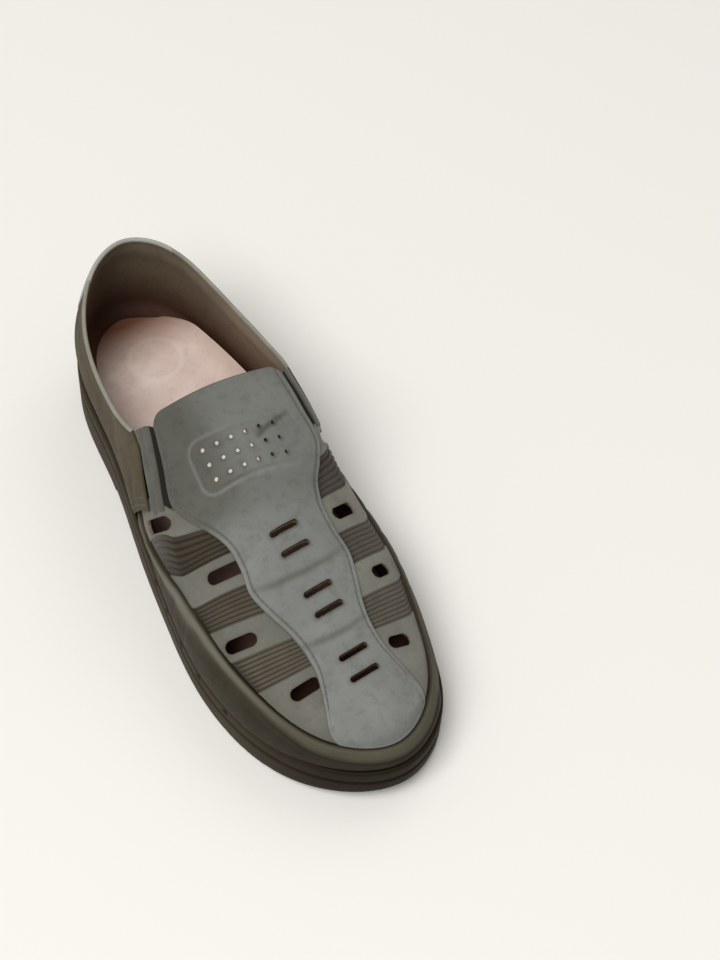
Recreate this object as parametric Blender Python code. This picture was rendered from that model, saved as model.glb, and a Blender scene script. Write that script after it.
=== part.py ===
"""Perforated slip-on loafer for the right foot, standing on its sole.

The toe points to -Y, the medial side to +X, and the floor is Z = 0.
Tables and sizes are in millimetres and become metres when a mesh is made.
"""
import math

import bmesh
import bpy
import numpy as np

MM = 0.001

# Walls and clearances
WALL = 1.6            # base wall of the upper
STEP = 1.2            # quarter and mudguard stand this much above the base wall
GAP = 0.3             # clearance between neighbouring pieces
BAND_LIFT = 0.45      # ribbed bands bridge the shoulder's curve with this clearance
LIP_INSET = 4.6       # base wall stands this far inside the sole outline
PLUG_THICK = 1.4
GORE_THICK = 0.8
BAND_THICK = 0.5
RIB_RISE = 0.5
TRIM_THICK = 1.0
INSOLE_THICK = 3.5
INSOLE_INSET = 8.1

# Sole
LIP_RISE = 2.8        # lip above the feather line
LIP_THICK = 2.2
LEDGE_DROP = 0.3      # ledge under the upper's lower rim
CUP_INSET = 7.6       # hollow that holds the insole
CUP_DEPTH = 6.0
GROOVE_DEPTH = 1.1    # groove that runs round the side of the sole
TOE_SPRING = 8.5
SPRING_START = 232.0
HEEL_BREAST = 86.0
ARCH_END = 150.0
ARCH_RISE = 6.0
LUG_GROOVE_WIDTH = 3.0
LUG_GROOVE_DEPTH = 2.0
FOREFOOT_GROOVES = (163.0, 176.0, 189.0, 202.0, 215.0, 228.0, 241.0, 254.0)
HEEL_GROOVES = (22.0, 35.0, 48.0, 61.0, 74.0)

# Last: one row for each station from the back of the heel to the tip of the toe
LAST_COLUMNS = ("s_lat", "x_lat", "s_med", "x_med", "feather", "inset", "shoulder",
                "bulge", "ridge_s", "ridge_x", "ridge_z")
LAST_ROWS = (
    (0, -1, 0, -1, 27, 8, 94, 5, 28, -1, 106),                    # back of the heel
    (9, -21.5, 9, 19, 27, 8, 94, 6, 34, -1, 106),                 # heel corner
    (38, -36, 38, 33.5, 26.5, 7, 92, 8, 50, -1, 106),             # heel side
    (80, -40.5, 80, 43, 25.5, 7, 89, 7.5, 84, -0.5, 102),         # heel breast
    (125, -47.5, 125, 48, 24, 8, 82, 6, 124, -1, 87.5),           # waist
    (170, -53.5, 165, 50.5, 20.5, 3.5, 49.5, 4.5, 166, -1, 73),   # behind the ball
    (203, -55.8, 205, 51.5, 18.5, 4, 42.5, 3, 200, 0, 60.5),      # ball
    (242, -50, 243, 44.5, 19, 4.5, 38.5, 2.5, 230, 1.5, 51.5),    # side of the toe
    (275, -31.5, 274, 32, 21.5, 4, 35.5, 2, 250, 2.5, 46.5),      # toe corner
    (292, 4.5, 292, 4.5, 23, 4.5, 34, 2, 258, 3.5, 45.5),         # tip of the toe
)
TOE = len(LAST_ROWS) - 1
LOOP = 2 * TOE
THROAT = 3.72         # station of the saddle's rear edge

# Collar line: distance from the heel back, height
COLLAR_ROWS = ((0, 84), (20, 77), (45, 69), (75, 65.5), (100, 67.5), (112, 69.5))

# Lines on the form: station, rise (0 feather, 0.5 shoulder, 1 ridge)
SEAM_ROWS = ((4.1, 0.27), (4.45, 0.25), (4.75, 0.295), (5, 0.375), (5.5, 0.45),
             (6, 0.49), (6.5, 0.5), (7.5, 0.495), (8.2, 0.48), (9, 0.475))
PLUG_ROWS = ((3.72, 0.5), (4.2, 0.5), (4.56, 0.51), (4.74, 0.6), (4.95, 0.685), (5.2, 0.735),
             (5.6, 0.75), (5.94, 0.735), (6.3, 0.76), (6.68, 0.79), (7.1, 0.79), (7.5, 0.745),
             (7.85, 0.64), (8.1, 0.54), (8.4, 0.52), (9, 0.515))
SLANT = 0.95          # stations that a cross line gains from feather to ridge

MEDIAL_SHIFT = -0.12  # stations that medial straps, slots and bands sit nearer the heel
SIDES = ((1, 0.0), (-1, MEDIAL_SHIFT))   # direction of the stations, shift: lateral, medial

# Ribbed bands: name, rear and front station at the shoulder
BAND_ROWS = (("1", 4.8, 5.1), ("2", 5.55, 6.0), ("3", 6.43, 6.93))
# Side slots: station at the shoulder, outer and inner rise, width
SIDE_SLOT_ROWS = ((4.6, 0.36, 0.49, 5.0), (5.33, 0.6, 0.78, 6.5), (6.25, 0.52, 0.665, 6.5),
                  (7.2, 0.585, 0.765, 6.5))
# Plug slots: station on the ridge; all have one length and width
PLUG_SLOT_STATIONS = (5.5, 5.8, 6.38, 6.7, 7.55, 8.2)
PLUG_SLOT_LENGTH = 13.0
PLUG_SLOT_WIDTH = 3.0

# Mesh columns in each half of the outline
REAR_COLUMNS = 14
FRONT_COLUMNS = 22
WALL_ROWS = 6
TOP_ROWS = 7

LEATHER = (0.21, 0.21, 0.19)
SADDLE = (0.17, 0.17, 0.15)
RIBBED = (0.11, 0.1, 0.065)
ELASTIC = (0.12, 0.12, 0.11)
TRIM = (0.32, 0.31, 0.27)
RUBBER = (0.03, 0.024, 0.018)
FOOTBED = (0.56, 0.42, 0.36)


def last_column(name):
    index = LAST_COLUMNS.index(name)
    return np.array([row[index] for row in LAST_ROWS], float)


def round_trip(values):
    """Station values out along the lateral side and back along the medial side."""
    return np.concatenate([values, values[-2:0:-1]])


def closed_spline(points, where):
    """Smooth closed curve through the points, read at the station numbers in where."""
    count = len(points)
    chord = np.linalg.norm(np.roll(points, -1, 0) - points, axis=1)
    matrix = np.zeros((count, count))
    right = np.zeros_like(points)
    for i in range(count):
        before, after = chord[i - 1], chord[i]
        following = (i + 1) % count
        matrix[i, i - 1] += after
        matrix[i, i] += 2 * (before + after)
        matrix[i, following] += before
        right[i] = 3 * (after * (points[i] - points[i - 1]) / before
                        + before * (points[following] - points[i]) / after)
    slope = np.linalg.solve(matrix, right)
    base = np.floor(where).astype(int)
    t = (where - base)[:, None]
    i, j = base % count, (base + 1) % count
    span = chord[i][:, None]
    return ((2 * t**3 - 3 * t**2 + 1) * points[i] + (t**3 - 2 * t**2 + t) * span * slope[i]
            + (3 * t**2 - 2 * t**3) * points[j] + (t**3 - t**2) * span * slope[j])


def along(name, where):
    """A height or inset of the last, read smoothly between its stations."""
    values = round_trip(last_column(name))
    base = np.floor(where).astype(int)
    t = where - base
    a, b, c, d = (values[(base + k) % LOOP] for k in (-1, 0, 1, 2))
    return 0.5 * (2 * b + (c - a) * t + (2 * a - 5 * b + 4 * c - d) * t**2
                  + (3 * b - a - 3 * c + d) * t**3)


def table(rows, where):
    """Smooth curve through a short table of position and value."""
    x, y = np.array(rows, float).T
    slope = np.gradient(y, x)
    where = np.clip(where, x[0], x[-1])
    i = np.clip(np.searchsorted(x, where, "right") - 1, 0, len(x) - 2)
    span = x[i + 1] - x[i]
    t = (where - x[i]) / span
    return ((2 * t**3 - 3 * t**2 + 1) * y[i] + (t**3 - 2 * t**2 + t) * span * slope[i]
            + (3 * t**2 - 2 * t**3) * y[i + 1] + (t**3 - t**2) * span * slope[i + 1])


def outline(where, inset):
    """Plan outline (x, s), moved inwards by an inset."""
    lateral = np.stack([last_column("x_lat"), last_column("s_lat")], 1)
    medial = np.stack([last_column("x_med"), last_column("s_med")], 1)
    points = np.concatenate([lateral, medial[-2:0:-1]])
    small = 1e-3
    here = closed_spline(points, where)
    tangent = closed_spline(points, where + small) - closed_spline(points, where - small)
    tangent /= np.linalg.norm(tangent, axis=1)[:, None]
    inward = np.stack([tangent[:, 1], -tangent[:, 0]], 1)
    return here + inward * np.reshape(inset, (-1, 1))


def bezier(controls, t):
    a, b, c, d = controls
    return (1 - t)**3 * a + 3 * (1 - t)**2 * t * b + 3 * (1 - t) * t**2 * c + t**3 * d


def form(station, rise):
    """Outer face of the base wall as (x, s, z) for arrays of station and rise."""
    station, rise = np.broadcast_arrays(np.asarray(station, float), np.asarray(rise, float))
    shape = station.shape
    where, v = station.ravel() % LOOP, rise.ravel()
    foot = outline(where, LIP_INSET)
    ridge = np.stack([along("ridge_x", where), along("ridge_s", where)], 1)
    ray = foot - ridge
    reach = np.linalg.norm(ray, axis=1)
    ray /= reach[:, None]
    low, mid, high = along("feather", where), along("shoulder", where), along("ridge_z", where)
    inset, bulge = along("inset", where), along("bulge", where)
    wall_t = np.clip(2 * v, 0, 1)
    top_t = np.clip(2 * v - 1, 0, 1)
    rise_wall = mid - low
    brow = reach - inset
    wall_r = bezier((reach, reach + bulge, reach + 0.2 * bulge - 0.15 * inset, brow), wall_t)
    wall_z = bezier((low, low + 0.35 * rise_wall, low + 0.85 * rise_wall, mid), wall_t)
    top_r = bezier((brow, 0.68 * brow, 0.36 * brow, 0 * brow), top_t)
    top_z = bezier((mid, mid + 0.55 * (high - mid), high, high), top_t)
    radius = np.where(v > 0.5, top_r, wall_r)
    height = np.where(v > 0.5, top_z, wall_z)
    plan = ridge + ray * radius[:, None]
    return np.concatenate([plan, height[:, None]], 1).reshape(shape + (3,))


def side_normal(station, rise):
    small = 2e-3
    rise = np.clip(rise, small, 0.985)
    forward = form(station + small, rise) - form(station - small, rise)
    upward = form(station, rise + small) - form(station, rise - small)
    normal = np.cross(upward, forward)
    return normal / np.linalg.norm(normal, axis=-1, keepdims=True)


def skin(station, rise, lift):
    """Point at a lift from the base wall; both sides share the points on the ridge."""
    station, rise, lift = np.broadcast_arrays(*(np.asarray(a, float) for a in (station, rise, lift)))
    normal = side_normal(station, rise)
    other = side_normal(LOOP - station, rise)
    normal = np.where((rise > 0.999)[..., None], normal + other, normal)
    normal = normal / np.linalg.norm(normal, axis=-1, keepdims=True)
    return form(station, rise) + normal * lift[..., None]


def rise_at(station, height):
    """Rise of the wall at a height, station by station."""
    sample = np.linspace(0, 0.5, 120)
    heights = form(np.asarray(station)[:, None], sample[None, :])[:, :, 2]
    return np.array([np.interp(h, z, sample) for h, z in zip(height, heights)])


def collar_height(station):
    """Height of the collar line at each station."""
    back = np.minimum(station % LOOP, LOOP - station % LOOP)
    distance = form(back, np.full(back.shape, 0.38))[:, 1]
    return table(COLLAR_ROWS, distance)


def near_side(station):
    return np.minimum(station % LOOP, LOOP - station % LOOP)


def seam_rise(station):
    """Top of the quarter and mudguard: the collar behind the throat, the apron seam before it."""
    start = rise_at(np.array([THROAT]), collar_height(np.array([THROAT])))[0]
    return table(((THROAT, start),) + SEAM_ROWS, near_side(station))


def plug_rise(station):
    return table(PLUG_ROWS, near_side(station))


def even_stations(first, last, count):
    """Stations spread evenly along the outline."""
    dense = np.linspace(first, last, 400)
    steps = np.linalg.norm(np.diff(outline(dense, 0.0), axis=0), axis=1)
    length = np.concatenate([[0], np.cumsum(steps)])
    return np.interp(np.linspace(0, length[-1], count + 1), length, dense)


REAR = even_stations(0, THROAT, REAR_COLUMNS)
FRONT = even_stations(THROAT, TOE, FRONT_COLUMNS)
REAR_LOOP = np.concatenate([-REAR[:0:-1], REAR])
FRONT_LOOP = np.concatenate([FRONT, LOOP - FRONT[-2::-1]])
HALF = np.concatenate([REAR, FRONT[1:]])
AROUND = np.concatenate([HALF, LOOP - HALF[-2:0:-1]])
EDGE = outline(AROUND, 0.0)
CENTRE = (EDGE.min(0) + EDGE.max(0)) / 2


def make_object(name, grids, colour, caps=()):
    """Join grids of (x, s, z) points into one closed mesh with its own material."""
    mesh = bmesh.new()
    for grid in grids:
        rows, columns = grid.shape[:2]
        place = np.stack([grid[..., 0] - CENTRE[0], CENTRE[1] - grid[..., 1], grid[..., 2]], -1) * MM
        vert = [[mesh.verts.new(place[i, j]) for j in range(columns)] for i in range(rows)]
        for i in range(rows - 1):
            for j in range(columns - 1):
                mesh.faces.new((vert[i][j], vert[i + 1][j], vert[i + 1][j + 1], vert[i][j + 1]))
    for cap in caps:
        place = np.stack([cap[:, 0] - CENTRE[0], CENTRE[1] - cap[:, 1], cap[:, 2]], -1) * MM
        mesh.faces.new([mesh.verts.new(p) for p in place])
    bmesh.ops.remove_doubles(mesh, verts=mesh.verts[:], dist=2e-5)
    bmesh.ops.dissolve_degenerate(mesh, edges=mesh.edges[:], dist=1e-6)
    bmesh.ops.recalc_face_normals(mesh, faces=mesh.faces[:])
    data = bpy.data.meshes.new(name)
    mesh.to_mesh(data)
    mesh.free()
    thing = bpy.data.objects.new(name, data)
    bpy.context.collection.objects.link(thing)
    if colour:
        material = bpy.data.materials.new(name)
        material.use_nodes = True
        shader = material.node_tree.nodes["Principled BSDF"]
        shader.inputs["Base Color"].default_value = (*colour, 1.0)
        shader.inputs["Roughness"].default_value = 0.7
        data.materials.append(material)
    return thing


def cut(thing, cutter):
    """Take the cutter's shape out of a piece."""
    cutter.hide_render = True
    cutter.display_type = "WIRE"
    modifier = thing.modifiers.new(cutter.name, "BOOLEAN")
    modifier.operation = "DIFFERENCE"
    modifier.solver = "EXACT"
    modifier.object = cutter


def close_ring(ring):
    """Repeat the first column of points so that a ring closes."""
    return np.concatenate([ring, ring[:1]])


def patch(name, station, rise, low, high, colour):
    """Overlay between two lifts of the form, on a grid of station and rise."""
    over = skin(station, rise, high)
    under = skin(station, rise, low)
    walls = [np.stack([over[:, 0], under[:, 0]]), np.stack([over[0], under[0]]),
             np.stack([over[-1], under[-1]])]
    if rise[0, -1] < 0.999:
        walls.append(np.stack([over[:, -1], under[:, -1]]))
    return make_object(name, [over, under] + walls, colour)


def make_sole():
    """Unit sole: side wall with a groove, lip round the upper, ledge, tread and toe spring."""
    feather = along("feather", AROUND)
    distance = outline(AROUND, 0.0)[:, 1]
    spring = np.clip((distance - SPRING_START) / (EDGE[:, 1].max() - SPRING_START), 0, 1)
    floor = TOE_SPRING * spring**2
    profile = ((2.0, floor), (0.4, floor + 1.6), (0.0, floor + 4.0), (0.0, feather - 6.5),
               (GROOVE_DEPTH, feather - 5.6), (GROOVE_DEPTH, feather - 4.4), (0.0, feather - 3.5),
               (0.0, feather + 1.6), (0.8, feather + LIP_RISE), (LIP_THICK - 0.5, feather + LIP_RISE),
               (LIP_THICK, feather + LIP_RISE - 0.5), (LIP_THICK, feather - LEDGE_DROP),
               (CUP_INSET, feather - LEDGE_DROP), (CUP_INSET, feather - CUP_DEPTH))
    rings = np.stack([np.column_stack([outline(AROUND, inset), height]) for inset, height in profile])
    side = np.concatenate([rings, rings[:, :1]], 1)
    half = len(HALF)
    plates = []
    for ring in (rings[0], rings[-1]):
        lateral = ring[:half]
        medial = np.concatenate([ring[:1], ring[half - 1:][::-1]])
        across = np.linspace(0, 1, 5)[None, :, None]
        plates.append(lateral[:, None] * (1 - across) + medial[:, None] * across)
    sole = make_object("sole_unit", [side] + plates, RUBBER)
    cut(sole, arch_cutter())
    cut(sole, lug_cutter())
    return sole


def box_grid(s_low, s_high, z_low, z_high):
    """Six faces of a box that runs right across the sole."""
    x_low, x_high = -80.0, 80.0
    corner = [[[(x, s, z) for z in (z_low, z_high)] for s in (s_low, s_high)] for x in (x_low, x_high)]
    corner = np.array(corner)
    return [corner[0], corner[1], corner[:, 0], corner[:, 1], corner[:, :, 0], corner[:, :, 1]]


def arch_cutter():
    """Space under the arch: upright at the heel breast, run out to nothing at the ball."""
    t = np.linspace(0, 1, 9)
    roof = ARCH_RISE * (1 - t**2) * np.clip(1.3 - 0.3 * t, 0, 1)
    line = np.stack([HEEL_BREAST + t * (ARCH_END - HEEL_BREAST), roof], 1)
    low = np.stack([line[:, 0], np.full(len(t), -5.0)], 1)
    sides = []
    for x in (-80.0, 80.0):
        pair = np.stack([line, low])
        sides.append(np.concatenate([np.full(pair.shape[:2] + (1,), x), pair], 2))
    roofs = np.stack([sides[0][0], sides[1][0]])
    floors = np.stack([sides[0][1], sides[1][1]])
    ends = [np.stack([sides[0][:, k], sides[1][:, k]]) for k in (0, -1)]
    return make_object("arch_cutter", sides + [roofs, floors] + ends, None)


def lug_cutter():
    """Grooves that part the main lugs."""
    grids = []
    for middle in HEEL_GROOVES + FOREFOOT_GROOVES:
        spring = max(0.0, (middle - SPRING_START) / (EDGE[:, 1].max() - SPRING_START))
        roof = LUG_GROOVE_DEPTH + TOE_SPRING * spring**2
        grids += box_grid(middle - LUG_GROOVE_WIDTH / 2, middle + LUG_GROOVE_WIDTH / 2, -5.0, roof)
    return make_object("lug_cutter", grids, None)


def make_upper():
    """One hollow wall: raised quarter and mudguard below, base wall above, open collar and foot."""
    fraction = np.linspace(0, 1, WALL_ROWS + 1)[None, :]
    rear_top = rise_at(REAR_LOOP, collar_height(REAR_LOOP))
    front_top = seam_rise(FRONT_LOOP)
    station = np.concatenate([REAR_LOOP, FRONT_LOOP[1:-1]])
    top = np.concatenate([rear_top, front_top[1:-1]])
    station, top = close_ring(station), close_ring(top)
    low = top[:, None] * fraction
    wall_out = skin(station[:, None], low, STEP)
    wall_in = skin(station[:, None], low, -WALL)
    for face in (wall_out, wall_in):
        face[:, 0, 2] = along("feather", station % LOOP)
    foot_rim = np.stack([wall_out[:, 0], wall_in[:, 0]])
    up = np.linspace(0, 1, TOP_ROWS + 1)[None, :]
    high = front_top[:, None] + (1 - front_top[:, None]) * up
    top_out = skin(FRONT_LOOP[:, None], high, 0.0)
    top_in = skin(FRONT_LOOP[:, None], high, -WALL)
    step = np.stack([skin(FRONT_LOOP, front_top, STEP), top_out[:, 0]])
    rim = np.stack([skin(REAR_LOOP, rear_top, lift) for lift in (STEP, 0.0, -WALL)])
    throats = [np.stack([top_out[k], top_in[k]]) for k in (0, -1)]
    grids = [wall_out, wall_in, foot_rim, top_out, top_in, step, rim] + throats
    return make_object("upper", grids, LEATHER)


def stadium_prism(centre, direction, normal, length, width, depth):
    """Round-ended slot cutter as grids: a wall and two caps."""
    side = np.cross(normal, direction)
    turn = np.linspace(-math.pi / 2, math.pi / 2, 6)
    straight = length / 2 - width / 2
    cap = np.stack([straight + width / 2 * np.cos(turn), width / 2 * np.sin(turn)], 1)
    loop = np.concatenate([cap, -cap])
    plan = centre + loop[:, :1] * direction + loop[:, 1:] * side
    rings = [plan + normal * depth, plan - normal * depth]
    wall = np.stack([close_ring(rings[0]), close_ring(rings[1])])
    return wall, rings


def slot_cutter(name, slots):
    """All slots of one kind as a single cutter."""
    grids, caps = [], []
    for centre, direction, normal, length, width in slots:
        wall, rings = stadium_prism(centre, direction, normal, length, width, 4.0)
        grids.append(wall)
        caps += rings
    return make_object(name, grids, None, caps)


def side_slots():
    """Slots in the straps on both sides."""
    slots = []
    for shoulder, outer, inner, width in SIDE_SLOT_ROWS:
        for side, shift in SIDES:
            rise = np.array([outer, inner, (outer + inner) / 2])
            station = (shoulder + shift + SLANT * (rise - 0.5)) * side % LOOP
            ends = form(station, rise)
            normal = side_normal(station, rise)[2]
            direction = ends[1] - ends[0]
            direction -= normal * direction.dot(normal)
            length = np.linalg.norm(direction)
            slots.append((ends[2], direction / length, normal, length, width))
    return slots


def plug_slots():
    """Cross slots along the ridge of the plug."""
    slots = []
    for station in PLUG_SLOT_STATIONS:
        here = np.array([station, station - 0.05, station + 0.05])
        points = form(here, np.ones(3))
        slope = points[2] - points[1]
        direction = np.array([1.0, 0.0, 0.0])
        normal = np.cross(slope, direction)
        normal /= np.linalg.norm(normal)
        normal *= np.sign(normal[2])
        slots.append((points[0], direction, normal, PLUG_SLOT_LENGTH, PLUG_SLOT_WIDTH))
    return slots


def make_plug():
    """Saddle and wavy strip over the top of the foot, up to the toe seam."""
    up = np.linspace(0, 1, 6)[None, :]
    edge = plug_rise(FRONT_LOOP)
    rise = edge[:, None] + (1 - edge[:, None]) * up
    station = np.repeat(FRONT_LOOP[:, None], rise.shape[1], 1)
    return patch("vamp_plug", station, rise, GAP, GAP + PLUG_THICK, SADDLE)


def clear_span(station_of, low_gap, high_gap, count):
    """Rises from just above the seam to just under the plug along a cross line."""
    rise = np.linspace(0.2, 0.9, 400)
    station = station_of(rise)
    inside = (rise > seam_rise(station) + low_gap) & (rise < plug_rise(station) - high_gap)
    first = np.argmax(inside)
    last = first + np.argmin(inside[first:]) - 1
    return np.linspace(rise[first], rise[last], count)


def make_bands():
    """Ribbed inserts between the slotted straps; the ribs run from the seam to the plug."""
    ribs = 5
    for label, rear, front in BAND_ROWS:
        for name, (side, shift) in zip(("lateral", "medial"), SIDES):
            starts = np.linspace(rear, front, 2 * ribs + 1) + shift
            rise = np.stack([clear_span(lambda v, at=at: at + SLANT * (v - 0.5), 0.045, 0.02, 5)
                             for at in starts])
            station = (starts[:, None] + SLANT * (rise - 0.5)) * side % LOOP
            crest = np.where(np.arange(len(starts)) % 2, RIB_RISE, 0.0)[:, None]
            high = BAND_LIFT + BAND_THICK + crest + 0 * rise
            patch("ribbed_band_%s_%s" % (name, label), station, rise, BAND_LIFT, high, RIBBED)


def make_gores():
    """Elastic gores between the saddle and the quarter, ribbed along their length."""
    ribs = 3
    for side, name in ((1, "lateral"), (-1, "medial")):
        near = np.linspace(THROAT + 0.03, 4.42, 7)
        low = seam_rise(near) + 0.025
        high = plug_rise(near) - 0.02
        share = np.linspace(0, 1, 2 * ribs + 1)[None, :]
        rise = low[:, None] + (high - low)[:, None] * share
        station = np.repeat(near[:, None], rise.shape[1], 1) * side % LOOP
        crest = np.where(np.arange(rise.shape[1]) % 2, RIB_RISE, 0.0)[None, :]
        patch("gore_" + name, station, rise, GAP, GAP + GORE_THICK + crest + 0 * rise, ELASTIC)


def rim_wrap(name, first, last, columns, outer_leg, inner_leg):
    """Trim folded over the collar: an outer leg, a rounded top and an inner leg."""
    out_low, out_high = STEP + GAP, STEP + GAP + TRIM_THICK
    in_low, in_high = -WALL - GAP, -WALL - GAP - TRIM_THICK
    ring = ((outer_leg, out_high), (outer_leg / 2, out_high), (0.6, out_high), (-1.0, out_high - 0.5),
            (-1.4, -0.2), (-1.0, in_high + 0.5), (0.6, in_high), (inner_leg, in_high), (inner_leg, in_low),
            (-GAP, in_low), (-GAP, out_low), (outer_leg / 2, out_low), (outer_leg, out_low))
    station = even_stations(first + LOOP, last + LOOP, columns)
    top = collar_height(station)
    rows = [skin(station, rise_at(station, top - drop), lift) for drop, lift in ring]
    rings = np.stack(rows)
    grid = np.concatenate([rings, rings[:1]])
    return make_object(name, [grid], TRIM, (rings[:, 0], rings[:, -1]))


def make_insole():
    """Foot bed that lies on the sole inside the upper."""
    plan = outline(AROUND, INSOLE_INSET)
    bed = along("feather", AROUND) - CUP_DEPTH + GAP
    low = np.column_stack([plan, bed])
    high = np.column_stack([plan, bed + INSOLE_THICK])
    half = len(HALF)
    grids = [np.stack([close_ring(low), close_ring(high)])]
    for ring in (low, high):
        medial = np.concatenate([ring[:1], ring[half - 1:][::-1]])
        across = np.linspace(0, 1, 4)[None, :, None]
        grids.append(ring[:half][:, None] * (1 - across) + medial[:, None] * across)
    return make_object("insole", grids, FOOTBED)


for old in list(bpy.data.objects):
    bpy.data.objects.remove(old, do_unlink=True)

make_sole()
upper = make_upper()
plug = make_plug()
strap_cutter = slot_cutter("strap_slot_cutter", side_slots())
cross_cutter = slot_cutter("cross_slot_cutter", plug_slots())
cut(upper, strap_cutter)
cut(upper, cross_cutter)
cut(plug, cross_cutter)
make_bands()
make_gores()
rim_wrap("heel_tab", -1.3, 1.3, 12, 24.0, 9.0)
rim_wrap("binding_lateral", 1.32, 3.7, 12, 6.0, 6.0)
rim_wrap("binding_medial", -3.7, -1.32, 12, 6.0, 6.0)
make_insole()
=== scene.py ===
# %% [markdown]
# # A perforated slip-on loafer
# This lesson dresses a right-foot summer loafer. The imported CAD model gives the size, the place and
# the names of the pieces; here each one gets the leather, cloth or rubber that the real shoe shows.
# Lengths in the tables are millimetres, and become metres when a mesh is made.

# %% Load the frame
import math

import bpy
import numpy as np
from mathutils import Matrix, Vector


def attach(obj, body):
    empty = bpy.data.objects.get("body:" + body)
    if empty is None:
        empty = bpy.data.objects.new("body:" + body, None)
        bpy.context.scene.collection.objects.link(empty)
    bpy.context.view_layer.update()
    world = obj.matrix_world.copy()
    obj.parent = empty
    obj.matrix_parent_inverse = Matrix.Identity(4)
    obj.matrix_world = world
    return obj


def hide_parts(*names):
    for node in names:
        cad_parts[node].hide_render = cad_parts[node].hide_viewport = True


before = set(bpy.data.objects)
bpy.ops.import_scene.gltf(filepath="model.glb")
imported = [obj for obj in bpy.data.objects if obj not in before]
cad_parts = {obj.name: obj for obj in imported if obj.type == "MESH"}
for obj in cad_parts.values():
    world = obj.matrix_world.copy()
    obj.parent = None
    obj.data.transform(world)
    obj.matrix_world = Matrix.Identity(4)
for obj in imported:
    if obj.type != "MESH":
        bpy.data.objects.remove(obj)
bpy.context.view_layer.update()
MM = 0.001

# %% [markdown]
# ## The last
# A shoe is made over a last, a solid foot shape. Every panel is drawn over it, so the last comes first:
# one row of sizes for each station from the heel (0) to the toe (9). Stations run on round the medial
# side, back to 18. At a station, rise 0 is the feather line at the sole, 0.5 the shoulder and 1 the ridge.
# A sculpted mesh could do the same, but a table keeps every panel on the same surface as the CAD.

# %% The last in numbers
# s runs from the heel to the toe, x to the medial side and z up; the sole's outline is given on both sides
LAST_COLUMNS = ("s_lat", "x_lat", "s_med", "x_med", "feather", "inset", "shoulder",
                "bulge", "ridge_s", "ridge_x", "ridge_z")
LAST_ROWS = (
    (0, -1, 0, -1, 27, 8, 94, 5, 28, -1, 106),
    (9, -21.5, 9, 19, 27, 8, 94, 6, 34, -1, 106),
    (38, -36, 38, 33.5, 26.5, 7, 92, 8, 50, -1, 106),
    (80, -40.5, 80, 43, 25.5, 7, 89, 7.5, 84, -0.5, 102),
    (125, -47.5, 125, 48, 24, 8, 82, 6, 124, -1, 87.5),
    (170, -53.5, 165, 50.5, 20.5, 3.5, 49.5, 4.5, 166, -1, 73),
    (203, -55.8, 205, 51.5, 18.5, 4, 42.5, 3, 200, 0, 60.5),
    (242, -50, 243, 44.5, 19, 4.5, 38.5, 2.5, 230, 1.5, 51.5),
    (275, -31.5, 274, 32, 21.5, 4, 35.5, 2, 250, 2.5, 46.5),
    (292, 4.5, 292, 4.5, 23, 4.5, 34, 2, 258, 3.5, 45.5),
)
LAST = dict(zip(LAST_COLUMNS, np.array(LAST_ROWS, float).T))
TOE = len(LAST_ROWS) - 1
LOOP = 2 * TOE
print("last:", len(LAST_ROWS), "stations,", LAST["s_lat"][-1], "mm long")


# %% Curves through the tables
def hermite(t, span, start, end, leave, arrive):
    """Cubic curve over a span, from start to end, with its slopes at both."""
    return ((2 * t**3 - 3 * t**2 + 1) * start + (t**3 - 2 * t**2 + t) * span * leave
            + (3 * t**2 - 2 * t**3) * end + (t**3 - t**2) * span * arrive)


def closed_spline(points, where):
    """Smooth closed curve through the points, read at the station numbers in where."""
    count = len(points)
    chord = np.linalg.norm(np.roll(points, -1, 0) - points, axis=1)
    matrix = np.zeros((count, count))
    right = np.zeros_like(points)
    for i in range(count):
        before, after = chord[i - 1], chord[i]
        following = (i + 1) % count
        matrix[i, i - 1] += after
        matrix[i, i] += 2 * (before + after)
        matrix[i, following] += before
        right[i] = 3 * (after * (points[i] - points[i - 1]) / before
                        + before * (points[following] - points[i]) / after)
    slope = np.linalg.solve(matrix, right)
    base = np.floor(where).astype(int)
    i, j = base % count, (base + 1) % count
    return hermite((where - base)[:, None], chord[i][:, None], points[i], points[j], slope[i], slope[j])


def along(name, where):
    """A column of the last, read smoothly between its stations."""
    values = np.concatenate([LAST[name], LAST[name][-2:0:-1]])
    base = np.floor(where).astype(int)
    t = where - base
    a, b, c, d = (values[(base + k) % LOOP] for k in (-1, 0, 1, 2))
    return 0.5 * (2 * b + (c - a) * t + (2 * a - 5 * b + 4 * c - d) * t**2
                  + (3 * b - a - 3 * c + d) * t**3)


def table(rows, where):
    """Smooth curve through a short table of position and value."""
    x, y = np.array(rows, float).T
    slope = np.gradient(y, x)
    where = np.clip(where, x[0], x[-1])
    i = np.clip(np.searchsorted(x, where, "right") - 1, 0, len(x) - 2)
    span = x[i + 1] - x[i]
    return hermite((where - x[i]) / span, span, y[i], y[i + 1], slope[i], slope[i + 1])


def smooth_step(low, high, value):
    """0 below low, 1 above high and an even S between them."""
    t = np.clip((value - low) / (high - low), 0, 1)
    return t * t * (3 - 2 * t)


print("shoulder height at station 4.5:", along("shoulder", np.array([4.5]))[0].round(1), "mm")

# %% Outline of the sole
OUTLINE = np.concatenate([np.stack([LAST["x_lat"], LAST["s_lat"]], 1),
                          np.stack([LAST["x_med"], LAST["s_med"]], 1)[-2:0:-1]])
TANGENT_STEP = 1e-3          # stations to either side that give the outline's direction


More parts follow.
